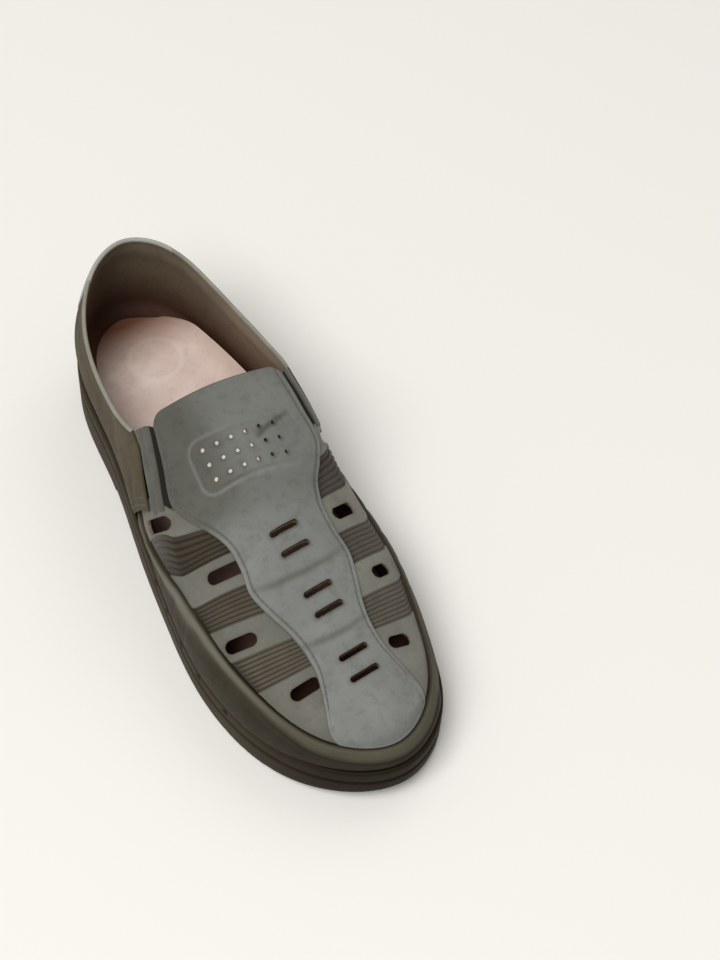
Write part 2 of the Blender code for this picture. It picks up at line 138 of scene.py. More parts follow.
def outline(where, inset):
    """Plan outline of the sole as (x, s), moved inwards by an inset."""
    here = closed_spline(OUTLINE, where)
    tangent = closed_spline(OUTLINE, where + TANGENT_STEP) - closed_spline(OUTLINE, where - TANGENT_STEP)
    tangent /= np.linalg.norm(tangent, axis=1)[:, None]
    return here + np.stack([tangent[:, 1], -tangent[:, 0]], 1) * np.reshape(inset, (-1, 1))


def even_stations(first, last, count):
    """Stations spread evenly along the outline."""
    dense = np.linspace(first, last, 600)
    steps = np.linalg.norm(np.diff(outline(dense % LOOP, 0.0), axis=0), axis=1)
    length = np.concatenate([[0], np.cumsum(steps)])
    return np.interp(np.linspace(0, length[-1], count + 1), length, dense)


print("outline:", np.ptp(OUTLINE, axis=0), "mm")

# %% A section of the last
LIP_INSET = 4.6              # the last stands this far inside the sole's outline
COLLAR_LEAN = 5.0            # the worn collar leans this far to the medial side


def bezier(controls, t):
    """Cubic curve with four controls."""
    a, b, c, d = controls
    return (1 - t)**3 * a + 3 * (1 - t)**2 * t * b + 3 * (1 - t) * t**2 * c + t**3 * d


def section(station, rise):
    """Point (x, s, z) of the last: a wall curve up to the shoulder, then a top curve to the ridge."""
    where, v = station.ravel() % LOOP, rise.ravel()
    foot = outline(where, LIP_INSET)
    ridge = np.stack([along("ridge_x", where), along("ridge_s", where)], 1)
    ray = foot - ridge
    reach = np.linalg.norm(ray, axis=1)
    ray /= reach[:, None]
    low, mid, high = along("feather", where), along("shoulder", where), along("ridge_z", where)
    inset, bulge = along("inset", where), along("bulge", where)
    wall_t, top_t = np.clip(2 * v, 0, 1), np.clip(2 * v - 1, 0, 1)
    brow = reach - inset
    wall_r = bezier((reach, reach + bulge, reach + 0.2 * bulge - 0.15 * inset, brow), wall_t)
    wall_z = bezier((low, low + 0.35 * (mid - low), low + 0.85 * (mid - low), mid), wall_t)
    top_r = bezier((brow, 0.68 * brow, 0.36 * brow, 0 * brow), top_t)
    top_z = bezier((mid, mid + 0.55 * (high - mid), high, high), top_t)
    plan = ridge + ray * np.where(v > 0.5, top_r, wall_r)[:, None]
    height = np.where(v > 0.5, top_z, wall_z)
    medial = where > TOE     # the lean fades out further from the heel on the medial side
    forward = smooth_step(np.where(medial, 70, 10), np.where(medial, 120, 85), plan[:, 1])
    plan[:, 0] += COLLAR_LEAN * smooth_step(45, 85, height) * (1 - forward)
    return np.concatenate([plan, height[:, None]], 1).reshape(station.shape + (3,))


print("shoulder at station 6:", section(np.array([6.0]), np.array([0.5]))[0].round(1), "mm")

# %% The surface of the last
CENTRE = (-1.965, 146.0)     # middle of the sole in plan: x, distance from the heel
ROUNDING = ((-0.03, 0.25), (0, 0.5), (0.03, 0.25))     # steps of rise and weights that round the shoulder


def form(station, rise):
    """The last with its shoulder rounded: a weighted mean of three points up and down the section."""
    station, rise = np.broadcast_arrays(np.asarray(station, float), np.asarray(rise, float))
    total = 0
    for step, weight in ROUNDING:
        v = rise + step
        over = v > 1
        point = section(np.where(over, -station, station), np.where(over, 2 - v, np.abs(v)))
        mirrored = 2 * section(station, 0 * v) - point if (v < 0).any() else point
        total = total + weight * np.where((v < 0)[..., None], mirrored, point)
    return total


def outward(station, rise):
    """Unit normal of the last."""
    rise = np.clip(rise, 0.004, 0.985)
    forward = form(station + 0.002, rise) - form(station - 0.002, rise)
    upward = form(station, rise + 0.004) - form(station, rise - 0.004)
    normal = np.cross(upward, forward)
    return normal / np.linalg.norm(normal, axis=-1, keepdims=True)


def rise_speed(station, rise):
    """Millimetres along the section for each unit of rise."""
    step = form(station, rise + 0.01) - form(station, rise - 0.01)
    return np.linalg.norm(step, axis=-1) / 0.02


def to_frame(points):
    """Millimetres on the last as metres in the CAD frame."""
    return np.stack([points[..., 0] - CENTRE[0], CENTRE[1] - points[..., 1], points[..., 2]], -1) * MM


print("ridge at station 4:", form(np.array([4.0]), np.array([1.0]))[0].round(1), "mm")

# %% Edges in numbers
THROAT = 3.72                # station of the saddle's rear edge
MEDIAL_SHIFT = -0.12         # medial straps sit this much nearer the heel
MEDIAL_DIP = 0.1             # the medial apron seam runs this much lower beside the straps
SIDES = {"lateral": (1, 0.0), "medial": (-1, MEDIAL_SHIFT)}
COLLAR_ROWS = ((0, 84), (20, 77), (45, 69), (70, 65.5), (88, 67), (100, 71.5), (112, 77.5))
COLLAR_RISE = 0.38           # rise at which the collar's distance from the heel is read
COLLAR_END = 3.62            # station where the collar meets the gore
# Station and rise: the quarter beside the gore, the apron seam, and the side edge of the plug
QUARTER_ROWS = ((3.85, 0.372), (4.0, 0.35), (4.17, 0.331), (4.34, 0.312), (4.5, 0.3))
SEAM_ROWS = ((3.6, 0.08), (3.9, 0.095), (4.1, 0.105), (4.38, 0.125), (4.6, 0.19), (4.78, 0.25),
             (4.93, 0.312), (5.1, 0.375), (5.5, 0.45), (6, 0.487), (6.5, 0.5), (7.5, 0.497), (8.2, 0.482),
             (9, 0.478))
PLUG_ROWS = ((3.72, 0.525), (4.2, 0.522), (4.52, 0.53), (4.72, 0.6), (4.95, 0.685), (5.2, 0.735),
             (5.6, 0.75), (5.94, 0.735), (6.3, 0.76), (6.68, 0.79), (7.1, 0.79), (7.5, 0.745),
             (7.85, 0.632), (8.03, 0.535), (8.16, 0.475), (8.5, 0.462), (9, 0.46))
print("points in the apron seam:", len(SEAM_ROWS), "and in the plug's edge:", len(PLUG_ROWS))


# %% Edges drawn on the last
def near_side(station):
    """Station counted from the heel on either side."""
    return np.minimum(station % LOOP, LOOP - station % LOOP)


def rise_at(station, height):
    """Rise of the wall at a height, station by station."""
    sample = np.linspace(0, 0.5, 120)
    heights = form(np.asarray(station)[:, None], sample[None, :])[:, :, 2]
    return np.array([np.interp(h, z, sample) for h, z in zip(height, heights)])


def collar_height(station):
    """Height of the collar over the floor."""
    back = near_side(station)
    return table(COLLAR_ROWS, form(back, np.full(back.shape, COLLAR_RISE))[:, 1])


def seam_rise(station):
    """Top edge of the mudguard: the apron seam, lower along the medial side."""
    near = near_side(station)
    medial = np.asarray(station) % LOOP > TOE
    beside = smooth_step(4.4, 5.2, near) * (1 - smooth_step(7.0, 8.2, near))
    return table(SEAM_ROWS, near) - MEDIAL_DIP * medial * beside


def plug_rise(station):
    """Side edge of the plug."""
    return table(PLUG_ROWS, near_side(station))


COLLAR_CORNER = (COLLAR_END, rise_at(np.array([COLLAR_END]), collar_height(np.array([COLLAR_END])))[0])


def gore_edge(station):
    """Edge of the quarter beside the gore, from the collar's corner on."""
    return table((COLLAR_CORNER,) + QUARTER_ROWS, station)


def quarter_top(station):
    """Top edge of the quarter: the collar, then the edge beside the gore."""
    near = near_side(station)
    return np.where(near < COLLAR_END, rise_at(station, collar_height(station)), gore_edge(near))


print("collar at the heel:", collar_height(np.array([0.0]))[0].round(1), "mm; corner:", COLLAR_CORNER)

# %% [markdown]
# ## Making a panel
# Leather is cut flat and then pulled over the last. The same happens here: a flat grid primitive is
# added with one vertex for each station and rise, and its vertices are moved onto the last. A sheet could
# be shrink-wrapped instead, but then its edges would wander off the pattern. The grid's own UV map is
# scaled to millimetres for cloth. Relief, the height of beads and creases, is kept as two attributes, so
# that a finish can darken grooves with painted shade and stains, and make the high edges pale with wear
# and a painted highlight.

# %% Selecting and reading a mesh
print("selected by the load:", len(bpy.context.selected_objects))


def deselect():
    """Leave edit mode and select nothing."""
    if bpy.context.object and bpy.context.object.mode != "OBJECT":
        bpy.ops.object.mode_set(mode="OBJECT")
    bpy.ops.object.select_all(action="DESELECT")


def take(piece):
    """Make one piece the only selected one."""
    deselect()
    piece.select_set(True)
    bpy.context.view_layer.objects.active = piece
    return piece


def read(items, name, width=1, kind=np.float32):
    """One property of all vertices, faces or corners of a mesh, as an array."""
    flat = np.empty(len(items) * width, kind)
    items.foreach_get(name, flat)
    return flat.reshape(-1, width) if width > 1 else flat


def write(items, name, values):
    """Set one property of all vertices or corners of a mesh from an array."""
    items.foreach_set(name, np.ascontiguousarray(values, np.float32).ravel())


def store(piece, name, values):
    """Keep one number for each vertex as an attribute of the mesh."""
    attribute = piece.data.attributes.get(name) or piece.data.attributes.new(name, "FLOAT", "POINT")
    write(attribute.data, "value", values)


deselect()
print("selected now:", len(bpy.context.selected_objects))

# %% A grid on the last
GROOVE_DEPTH = 0.35          # millimetres of relief below the surface that get the full painted shade


def grid_piece(name, points, relief=None, dirt_and_painted_shade=0.0):
    """A grid primitive whose vertices are moved to the points (rows, columns, xyz) in millimetres."""
    rows, columns = points.shape[:2]
    deselect()
    bpy.ops.mesh.primitive_grid_add(x_subdivisions=columns - 1, y_subdivisions=rows - 1)
    piece = bpy.context.object
    piece.name = piece.data.name = name
    write(piece.data.vertices, "co", to_frame(points))
    wide = np.linalg.norm(np.diff(points[rows // 2], axis=0), axis=1).sum()
    tall = np.linalg.norm(np.diff(points[:, columns // 2], axis=0), axis=1).sum()
    layer = piece.data.uv_layers.active.data
    write(layer, "uv", read(layer, "uv", 2) * (wide, tall))
    # Grooves get painted shade, with any stain added; raised edges are made pale by wear and a painted
    # highlight
    if relief is not None:
        store(piece, "groove", np.clip(-relief / GROOVE_DEPTH + dirt_and_painted_shade, 0, 1))
        store(piece, "wear_and_painted_light", np.clip(relief, 0, 1))
    return piece


def lasted(name, station, rise, lift, relief=0.0, dirt_and_painted_shade=0.0):
    """A panel on a grid of stations and rises, lifted off the last, with a relief, and stains and painted
    shade on it.
    """
    station, rise, lift, relief, dirt_and_painted_shade = np.broadcast_arrays(station, rise, lift, relief, dirt_and_painted_shade)
    base = form(station, rise)
    normal = np.cross(np.gradient(base, axis=1), np.gradient(base, axis=0))
    size = np.linalg.norm(normal, axis=-1, keepdims=True)
    normal = np.where(size > 1e-6, normal / np.maximum(size, 1e-6), (0.0, 0.0, 1.0))
    i, j = station.shape[0] // 2, station.shape[1] // 3
    inside_out = normal[i, j] @ outward(station[i, j], rise[i, j]) < 0
    points = base + np.where(inside_out, -normal, normal) * (lift + relief)[..., None]
    if not inside_out:       # s runs against Y, so the frame mirrors the grid
        points, relief, dirt_and_painted_shade = points[:, ::-1], relief[:, ::-1], dirt_and_painted_shade[:, ::-1]
    return grid_piece(name, points, relief, dirt_and_painted_shade)


print("full dirt at", GROOVE_DEPTH, "mm deep")

# %% Joining, thickness and seating
# Edit-mode steps: operator and settings
WELD = (bpy.ops.mesh.remove_doubles, {"threshold": 0.01 * MM})
CAP = (bpy.ops.mesh.fill_holes, {"sides": 0})
FACE_OUT = (bpy.ops.mesh.normals_make_consistent, {"inside": False})
print("weld closer than", WELD[1]["threshold"] / MM, "mm")


def edit(piece, *steps):
    """Run edit-mode steps on the whole of a piece."""
    take(piece)
    bpy.ops.object.mode_set(mode="EDIT")
    bpy.ops.mesh.select_all(action="SELECT")
    for operator, settings in steps:
        operator(**settings)
    bpy.ops.object.mode_set(mode="OBJECT")


def modify(piece, kind, **settings):
    """Add a modifier and apply it."""
    take(piece)
    modifier = piece.modifiers.new(kind.title(), kind)
    for key, value in settings.items():
        setattr(modifier, key, value)
    bpy.ops.object.modifier_apply(modifier=modifier.name)


def smooth(piece, degrees=50):
    """Shade a piece smooth, apart from edges sharper than an angle."""
    take(piece)
    bpy.ops.object.shade_smooth_by_angle(angle=math.radians(degrees))


def thicken(piece, thickness, finishes):
    """Give a sheet its thickness, inwards; finishes are outer face, cut edge and inner face."""
    for surface in finishes:
        piece.data.materials.append(surface)
    modify(piece, "SOLIDIFY", thickness=thickness * MM, offset=-1, use_even_offset=False,
           material_offset=2, material_offset_rim=1)
    smooth(piece)


def seat(piece, nodes=()):
    """Let a finished piece ride on the shoe and stand for its CAD nodes."""
    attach(piece, "root")
    if nodes:
        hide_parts(*nodes)
    print(piece.name, len(piece.data.polygons), "faces")
    return piece


# %% [markdown]
# ## Finishes
# Each finish starts from the real material: buffed and full-grain leather, pigskin, corded cotton, woven
# elastic, moulded rubber and waxed thread. Photographs could be laid on the panels, but procedural
# patterns need no files, have no seams and are worked out in millimetres. They lie on Object coordinates,
# or on a panel's own UV map for cloth.

# %% One function for colours, one for nodes
def linear(code):
    """sRGB hex colour as linear values."""
    parts = [int(code[i:i + 2], 16) / 255 for i in (1, 3, 5)]
    return tuple(c / 12.92 if c <= 0.04045 else ((c + 0.055) / 1.055)**2.4 for c in parts) + (1.0,)


def per_mm(size):
    """Texture scale that gives a feature this many millimetres."""
    return 1.0 / (size * MM)


def add_node(material, kind, settings=(), **inputs):
    """One shader node with its settings, and its inputs set or linked.

    An input goes by its name, with _ for a space, or by its number as _0. A node that is given as a value
    is linked by its first output.
    """
    tree = material.node_tree
    node = tree.nodes.new("ShaderNode" + kind)
    for key, value in dict(settings).items():
        setattr(node, key, value)
    for key, value in inputs.items():
        socket = node.inputs[int(key[1:])] if key[0] == "_" else node.inputs[key.replace("_", " ")]
        value = value.outputs[0] if isinstance(value, bpy.types.Node) else value
        if isinstance(value, bpy.types.NodeSocket):
            tree.links.new(value, socket)
        else:
            socket.default_value = value
    return node


print("mid grey in linear light:", round(linear("#808080")[0], 3))


# %% Starting and closing a finish
def new_material(name):
    """An empty material, and the place of a point on the shoe."""
    material = bpy.data.materials.new(name)
    material.use_nodes = True
    material.node_tree.nodes.clear()
    return material, add_node(material, "TexCoord").outputs["Object"]


def close_material(material, body, layers=(), bumps=(), **surface):
    """Close a material: colours laid over the body colour, bumps on bumps, and the shader's own values.

    A layer is its factor, its colour and its way of blending; a bump is height, strength and distance.
    """
    colour = linear(body)
    for factor, over, blend in layers:
        over = linear(over) if isinstance(over, str) else over
        colour = add_node(material, "Mix", {"data_type": "RGBA", "blend_type": blend},
                          _0=factor, _6=colour, _7=over).outputs[2]
    under = {}
    for height, strength, distance in bumps:
        bump = add_node(material, "Bump", Height=height, Strength=strength, Distance=distance, **under)
        under = {"Normal": bump}
    shader = add_node(material, "BsdfPrincipled", Base_Color=colour, **under, **surface)
    add_node(material, "OutputMaterial", Surface=shader)
    print("finish:", material.name, "with", len(material.node_tree.nodes), "nodes")
    return material


# Pale matt card for the floor: no gloss, so that only the shoe's soft shadow shows on it
PAPER = close_material(new_material("pale_paper")[0], "#faf8f3", Roughness=0.95)


# %% Leather
def leather(name, body, pale_tone, soil_and_shade, grain=0.9, bump=0.25, rough=0.8, sheen=0.0, soil_top=0.0,
            wear_and_light_amount=0.45, patchy=1.0, shade=()):
    """Full-grain or buffed leather: mottled colour, pores of the grain size, painted shade and grime in
    grooves, edges made pale by wear and a painted highlight.

    soil_top is the height in metres up to which grime from the floor climbs; each shade darkens a stretch
    along an axis, and most of these are painted shade. Real pores are about 0.3 mm wide: they are drawn two
    to four times as coarse, so that they show.
    """
    material, place = new_material(name)
    axes = add_node(material, "SeparateXYZ", Vector=place).outputs
    cloud = add_node(material, "TexNoise", Vector=place, Scale=per_mm(26), Detail=5.0, Roughness=0.62)
    spots = add_node(material, "TexNoise", Vector=place, Scale=per_mm(5), Detail=4.0, Roughness=0.7)
    patch = add_node(material, "MapRange", Value=cloud, From_Min=0.36, From_Max=0.68, To_Max=patchy)
    fleck = add_node(material, "MapRange", Value=spots, From_Min=0.5, From_Max=0.8, To_Max=0.35)
    layers = [(patch, pale_tone, "MIX"), (fleck, soil_and_shade, "MIX")]
    # Raised edges turn pale: wear with a painted highlight; grooves get painted shade and stains
    for attribute, amount, code in (("wear_and_painted_light", wear_and_light_amount, pale_tone), ("groove", 0.6, soil_and_shade)):
        mark = add_node(material, "Attribute", {"attribute_name": attribute}).outputs["Fac"]
        mark = add_node(material, "Math", {"operation": "MULTIPLY"}, _0=mark, _1=amount)
        layers.append((mark, code, "MIX"))
    if soil_top:
        low = add_node(material, "MapRange", Value=axes["Z"], From_Min=soil_top, From_Max=0.012)
        ragged = add_node(material, "Math", {"operation": "MULTIPLY"}, _0=low, _1=cloud)
        strong = add_node(material, "Math", {"operation": "MULTIPLY", "use_clamp": True},
                          _0=ragged, _1=1.7)
        layers.append((strong, soil_and_shade, "MIX"))
    # Shades along an axis: most of them are painted shade
    for axis, start, end, code in shade:
        stretch = add_node(material, "MapRange", Value=axes[axis], From_Min=start, From_Max=end)
        layers.append((stretch, code, "MULTIPLY"))
    pores = add_node(material, "TexVoronoi", Vector=place, Scale=per_mm(grain), Randomness=1.0)
    fibre = add_node(material, "TexNoise", Vector=place, Scale=per_mm(grain * 0.6), Detail=3.0)
    skin = add_node(material, "Math", {"operation": "ADD"}, _0=pores, _1=fibre)
    dull = add_node(material, "MapRange", Value=spots, To_Min=rough - 0.1, To_Max=rough + 0.1)
    return close_material(material, body, layers, ((skin, bump, 0.3 * MM), (cloud, 0.25, 1.5 * MM)),
                          Roughness=dull, Sheen_Weight=sheen, Sheen_Roughness=0.5, Specular_IOR_Level=0.22)


# Nubuck is buffed to a short nap: quite matt and softly mottled; darker to the heel, partly painted shade,
# and pale on rubbed edges, partly a painted highlight
NUBUCK = leather("grey_nubuck", "#7b7d79", "#868884", "#433f33", grain=0.8, rough=0.82, sheen=0.08,
                 wear_and_light_amount=0.9, shade=(("Y", -0.045, 0.03, "#e6e6e2"),))
# The straps' nubuck is browner from dust; the medial straps are painted paler, as painted light against the
# shade they stand in
STRAP_NUBUCK = leather("strap_nubuck", "#75746b", "#86857b", "#585448", grain=0.8, rough=0.82, sheen=0.08,
                       shade=(("X", 0.005, -0.005, "#e2e2e0"),))
# %% More leathers
# Greased wall leather: nearly black brown with a soft gloss, rubbed pale along the apron bead with a
# painted highlight, and darker towards the toe
WALL_LEATHER = leather("wall_leather", "#3b3426", "#7d7a6c", "#282216", grain=1.1, rough=0.66,
                       soil_top=0.05, wear_and_light_amount=0.9, patchy=0.2, shade=(("Y", -0.04, -0.12, "#cbcbbf"),))
# Full-grain leather round the heel: warmer and cloudier than the wall, dark with dirt near the sole
QUARTER_LEATHER = leather("quarter_leather", "#473e2c", "#574d39", "#2c2518", grain=1.1, rough=0.66,
                          soil_top=0.06)
# Thin calf for the collar trim: fine grain and a little gloss, so that the edge draws a pale line
TRIM_LEATHER = leather("trim_leather", "#8a877b", "#9b988c", "#6a6453", grain=0.7, bump=0.18, rough=0.62)
# The heel tab is the palest leather on the shoe, even in colour, with a plain grain
TAB_LEATHER = leather("pale_tab_leather", "#a0a097", "#afafa6", "#7a766b", grain=0.9, rough=0.7)
# Pigskin lining: coarse pores, matt, brown at the collar and redder down to the foot bed, darker there with
# painted shade
LINING = leather("lining_pigskin", "#6a5f4d", "#b8a592", "#3d2b20", grain=1.3, rough=0.7, wear_and_light_amount=0.4,
                 patchy=0.12, shade=(("Z", 0.07, 0.034, "#8c5f49"),))
# A cut edge shows raw fibre: pale tan and without any gloss
RAW_EDGE = leather("raw_leather_edge", "#97816c", "#a8917b", "#6a5646", grain=0.5, rough=0.9)
# Vegetable-tanned leather on the foot bed: smooth pale pink, with painted shade at the heel, at the rim,
# along the lateral margin and under the forefoot, where the upper shades it; the pressed ring is paler
FOOTBED = leather("footbed_leather", "#d6beb2", "#e6d3c9", "#a58a7a", grain=1.0, bump=0.15, rough=0.6,
                  wear_and_light_amount=1.6, shade=(("Y", 0.034, 0.01, "#b8a294"), ("Y", 0.106, 0.132, "#8c6a55"),
                                     ("X", -0.024, -0.035, "#7a5c4c"), ("Y", -0.03, -0.09, "#8f7f76")))
# Off-white fleece behind the saddle: it shows as light specks in the lateral pinholes
BACKING = leather("pale_backing", "#d6d1c6", "#e4dfd5", "#a8a296", grain=0.6, rough=0.9)


# %% Corded cloth
def corded(name, cord, valley, cross, bump, weave=0.85, instep="#ffffff"):
    """Corded cloth: ribs are in the mesh, and cross threads of a pitch in millimetres bind them.

    Real binding threads lie about 0.5 mm apart: they are drawn twice as coarse, so that they show.
    """
    material, place = new_material(name)
    flat = add_node(material, "TexCoord").outputs["UV"]
    binder = add_node(material, "TexWave", {"bands_direction": "Y", "wave_profile": "SIN"}, Vector=flat,
                      Scale=math.pi / (10 * cross), Distortion=0.6, Detail=2.0).outputs["Fac"]
    fuzz = add_node(material, "TexNoise", Vector=place, Scale=per_mm(0.7), Detail=3.0)
    cloud = add_node(material, "TexNoise", Vector=place, Scale=per_mm(9), Detail=3.0)
    tone = add_node(material, "MapRange", Value=cloud, From_Min=0.3, From_Max=0.7)
    tone = add_node(material, "Math", {"operation": "MULTIPLY"}, _0=tone, _1=0.3)
    groove = add_node(material, "Attribute", {"attribute_name": "groove"}).outputs["Fac"]
    back = add_node(material, "SeparateXYZ", Vector=place).outputs["Y"]
    back = add_node(material, "MapRange", Value=back, From_Min=-0.075, From_Max=-0.03)
    woven = add_node(material, "MapRange", Value=binder, To_Min=weave, To_Max=1.0)
    height = add_node(material, "Math", {"operation": "MULTIPLY_ADD"}, _0=fuzz, _1=0.5, _2=binder)
    # Valleys and the ends by the seam get painted shade through the groove attribute
    layers = ((tone, valley, "MIX"), (groove, valley, "MIX"), (back, instep, "MULTIPLY"),
              (1.0, woven, "MULTIPLY"))
    return close_material(material, cord, layers, ((height, bump, 0.4 * MM),),
                          Roughness=0.9, Sheen_Weight=0.2, Specular_IOR_Level=0.2)


# Corded cotton: dull olive ribs with valleys darkened by painted shade, browner near the instep
RIBBED = corded("ribbed_cotton", "#625c4d", "#39332a", cross=1.1, bump=0.3, weave=0.88, instep="#bdb3a6")
# Woven elastic: grey and finer than the cotton, nearly black in its folds from painted shade
ELASTIC = corded("woven_elastic", "#605f56", "#24231e", cross=0.9, bump=0.25, weave=0.9)


# %% Rubber and thread
def rubber(name, body, dust):
    """Moulded rubber: a spark-eroded texture, dusty where it nears the floor, darker at the toe.

    The real texture is about 0.2 mm wide: it is drawn at 0.8 mm, so that it shows.
    """
    material, place = new_material(name)
    axes = add_node(material, "SeparateXYZ", Vector=place).outputs
    cloud = add_node(material, "TexNoise", Vector=place, Scale=per_mm(18), Detail=6.0, Roughness=0.7)
    spark = add_node(material, "TexNoise", Vector=place, Scale=per_mm(0.8), Detail=2.0)
    low = add_node(material, "MapRange", Value=axes["Z"], From_Min=0.016, From_Max=0.0)
    dusty = add_node(material, "Math", {"operation": "MULTIPLY"}, _0=low, _1=cloud)
    groove = add_node(material, "Attribute", {"attribute_name": "groove"}).outputs["Fac"]
    toe = add_node(material, "MapRange", Value=axes["Y"], From_Min=-0.09, From_Max=-0.135)
    dull = add_node(material, "MapRange", Value=cloud, To_Min=0.5, To_Max=0.8)
    # Painted shade: the sole's groove and pits are darkened to near black
    layers = ((dusty, dust, "MIX"), (groove, "#15110d", "MIX"), (toe, "#a39a88", "MULTIPLY"))
    return close_material(material, body, layers, ((spark, 0.3, 0.3 * MM),),
                          Roughness=dull, Specular_IOR_Level=0.12)


def waxed(name, light, dark):
    """Waxed polyester thread: light and dark plies twist along it."""
    material, place = new_material(name)
    twist = add_node(material, "TexNoise", Vector=place, Scale=per_mm(0.6), Detail=2.0)
    return close_material(material, light, ((twist, dark, "MIX"),), ((twist, 0.4, 0.2 * MM),),
                          Roughness=0.6)


# Moulded rubber: dark brown and satin, with a wide soft highlight and dust at the floor
RUBBER = rubber("moulded_rubber", "#393122", "#4b4232")
# Waxed thread: grey with a slight gloss, so that each stitch catches a small light
THREAD = waxed("grey_thread", "#77766d", "#4f4c43")

# %% [markdown]
# ## The mudguard
# The mudguard is the leather wall round the front of the foot. Its top edge is turned into a rounded
# bead, the apron seam, and its rear ends go under the quarters. It could be a curve with a bevel, but that
# gives a tube and not a wall. One grid runs from one rear end round the toe to the other; the bead is a
# short table of distance from the edge and height, so its rows sit closer together there.

# %% Rolled edges
# Distance from an edge and height, in millimetres
BEAD_ROWS = ((-0.1, -1.7), (0.0, -0.9), (0.2, -0.1), (0.5, 0.42), (0.9, 0.72), (1.3, 0.78), (1.9, 0.62),
             (2.6, 0.34), (3.3, 0.12), (4.0, 0.03), (4.6, 0.0))
FOLD_ROWS = ((-0.1, -1.4), (0.0, -0.8), (0.2, -0.3), (0.5, -0.08), (0.9, 0.0), (1.3, 0.0), (99, 0.0))
BEAD_STEPS = np.array([4.6, 4.2, 3.9, 3.7, 3.5, 3.3, 3.1, 2.9, 2.6, 2.3, 2.0, 1.7, 1.4, 1.1, 0.85, 0.6,
                       0.4, 0.25, 0.1, 0.0, -0.1])


def edge_rows(station, top, body_rows, scale):
    """Rises from the feather to a top edge, closer together near it, and the distance from the edge."""
    speed = rise_speed(station, top)
    near = top[None, :] - BEAD_STEPS[:, None] * (scale / speed)[None, :]
    body = near[0][None, :] * np.linspace(0, 1, body_rows + 1)[:-1, None]
    distance = np.concatenate([np.full(body.shape, BEAD_STEPS[0]),
                               np.repeat(BEAD_STEPS[:, None], len(station), 1)])
    return np.concatenate([body, near]), distance


print("rows in a bead:", len(BEAD_STEPS))

# %% Soft walls and creases
STATION_MM, RISE_MM = 40.0, 90.0     # about the millimetres in a station and in a rise of the wall
# Wall creases: path of station and rise, width and depth in millimetres; the same on both sides
WALL_CREASES = (
    (((4.75, 0.23), (4.86, 0.15), (5.05, 0.07)), 2.2, 0.3),
    (((5.12, 0.34), (5.22, 0.2), (5.4, 0.09)), 2.6, 0.35),
    (((5.5, 0.4), (5.6, 0.26), (5.7, 0.1)), 2.2, 0.3),
    (((6.0, 0.42), (6.05, 0.26), (6.12, 0.12)), 2.4, 0.25),
    (((3.7, 0.26), (3.95, 0.17), (4.3, 0.1)), 3.0, 0.5),
    (((2.9, 0.4), (3.1, 0.26), (3.4, 0.1)), 3.2, 0.6),
    (((2.1, 0.4), (2.5, 0.27), (3.1, 0.17)), 3.4, 0.6),
    (((1.3, 0.33), (1.7, 0.2), (2.2, 0.12)), 3.6, 0.5),
)


def overhang(station, rise):
    """Lift that brings the soft wall out over the sole's lip."""
    shoulder = form(station, np.full(station.shape, 0.5))
    up = rise * 2 * np.linalg.norm(shoulder - form(station, 0 * station), axis=-1)
    amount = (3.0 - 0.33 * along("bulge", station)) * (1 - 0.6 * smooth_step(7, 8.6, near_side(station)))
    return amount * smooth_step(1.6, 3.8, up) * (1 - 0.8 * smooth_step(10, 28, up))


def trough(x, y, path, width, depth, closed=False):
    """Soft trough along a path of points; it fades at both ends unless the path is closed."""
    path = np.array(path, float)
    best = np.full(x.shape, 1e9)
    share = np.zeros(x.shape)
    for i, (a, b) in enumerate(zip(path[:-1], path[1:])):
        way = b - a
        t = np.clip(((x - a[0]) * way[0] + (y - a[1]) * way[1]) / (way @ way), 0, 1)
        reach = np.hypot(x - a[0] - t * way[0], y - a[1] - t * way[1])
        nearer = reach < best
        best = np.where(nearer, reach, best)
        share = np.where(nearer, (i + t) / (len(path) - 1), share)
    fade = 1.0 if closed else np.sqrt(np.clip(np.sin(math.pi * share), 0, 1))
    return -depth * np.exp(-(best / width)**2) * fade


def wall_creases(station, rise):
    """All creases of the wall, as a relief in millimetres."""
    station, rise = np.broadcast_arrays(near_side(station), rise)
    total = np.zeros(rise.shape)
    for path, width, depth in WALL_CREASES:
        path = np.array(path) * (STATION_MM, RISE_MM)
        total += trough(station * STATION_MM, rise * RISE_MM, path, width, depth)
    return total


print("wall creases:", len(WALL_CREASES))

# %% Mudguard
LAP = (3.82, 1.667)          # front edge of the quarter: station at the feather, stations for a rise
APRON_DROP = 8.4             # the stitched line runs this far under the apron edge
column = even_stations(LAP[0] - 0.07, LOOP - LAP[0] - MEDIAL_SHIFT + 0.07, 460)
near = near_side(column)
# The bead is wider on the lateral side, and widest at the toe
wide = np.where(column < TOE, 2.0, 1.3) + np.where(column < TOE, 0.5, 1.2) * smooth_step(6.8, 8.6, near)
top = seam_rise(column)
rise, distance = edge_rows(column, top, 20, wide)
near = near[None, :]
bead = smooth_step(3.85, 4.1, near)
# The bead is made pale, wear with a painted highlight; its fold and the stitched groove get painted shade
edge = bead * wide**0.6 * table(BEAD_ROWS, distance) + (1 - bead) * table(FOLD_ROWS, distance)
edge = edge - 0.4 * np.exp(-((distance * wide - APRON_DROP) / 0.7)**2) * smooth_step(6.7, 7.7, near)
before_lap = (near - LAP[0] - MEDIAL_SHIFT * (column > TOE) - LAP[1] * rise) * STATION_MM
lap = -0.8 * (1 - smooth_step(0, 9, before_lap))    # the rear ends go under the quarters
below = (top - rise) * rise_speed(column, top)      # millimetres under the top edge
swell = overhang(column[None, :], rise) * smooth_step(4, 13, below) + wall_creases(column[None, :], rise)
mudguard = lasted("mudguard", np.repeat(column[None, :], len(rise), 0), rise, lift=1.3 + lap + swell,
                  relief=edge)
thicken(mudguard, 0.8, (WALL_LEATHER, RAW_EDGE, LINING))
seat(mudguard, ("upper",))

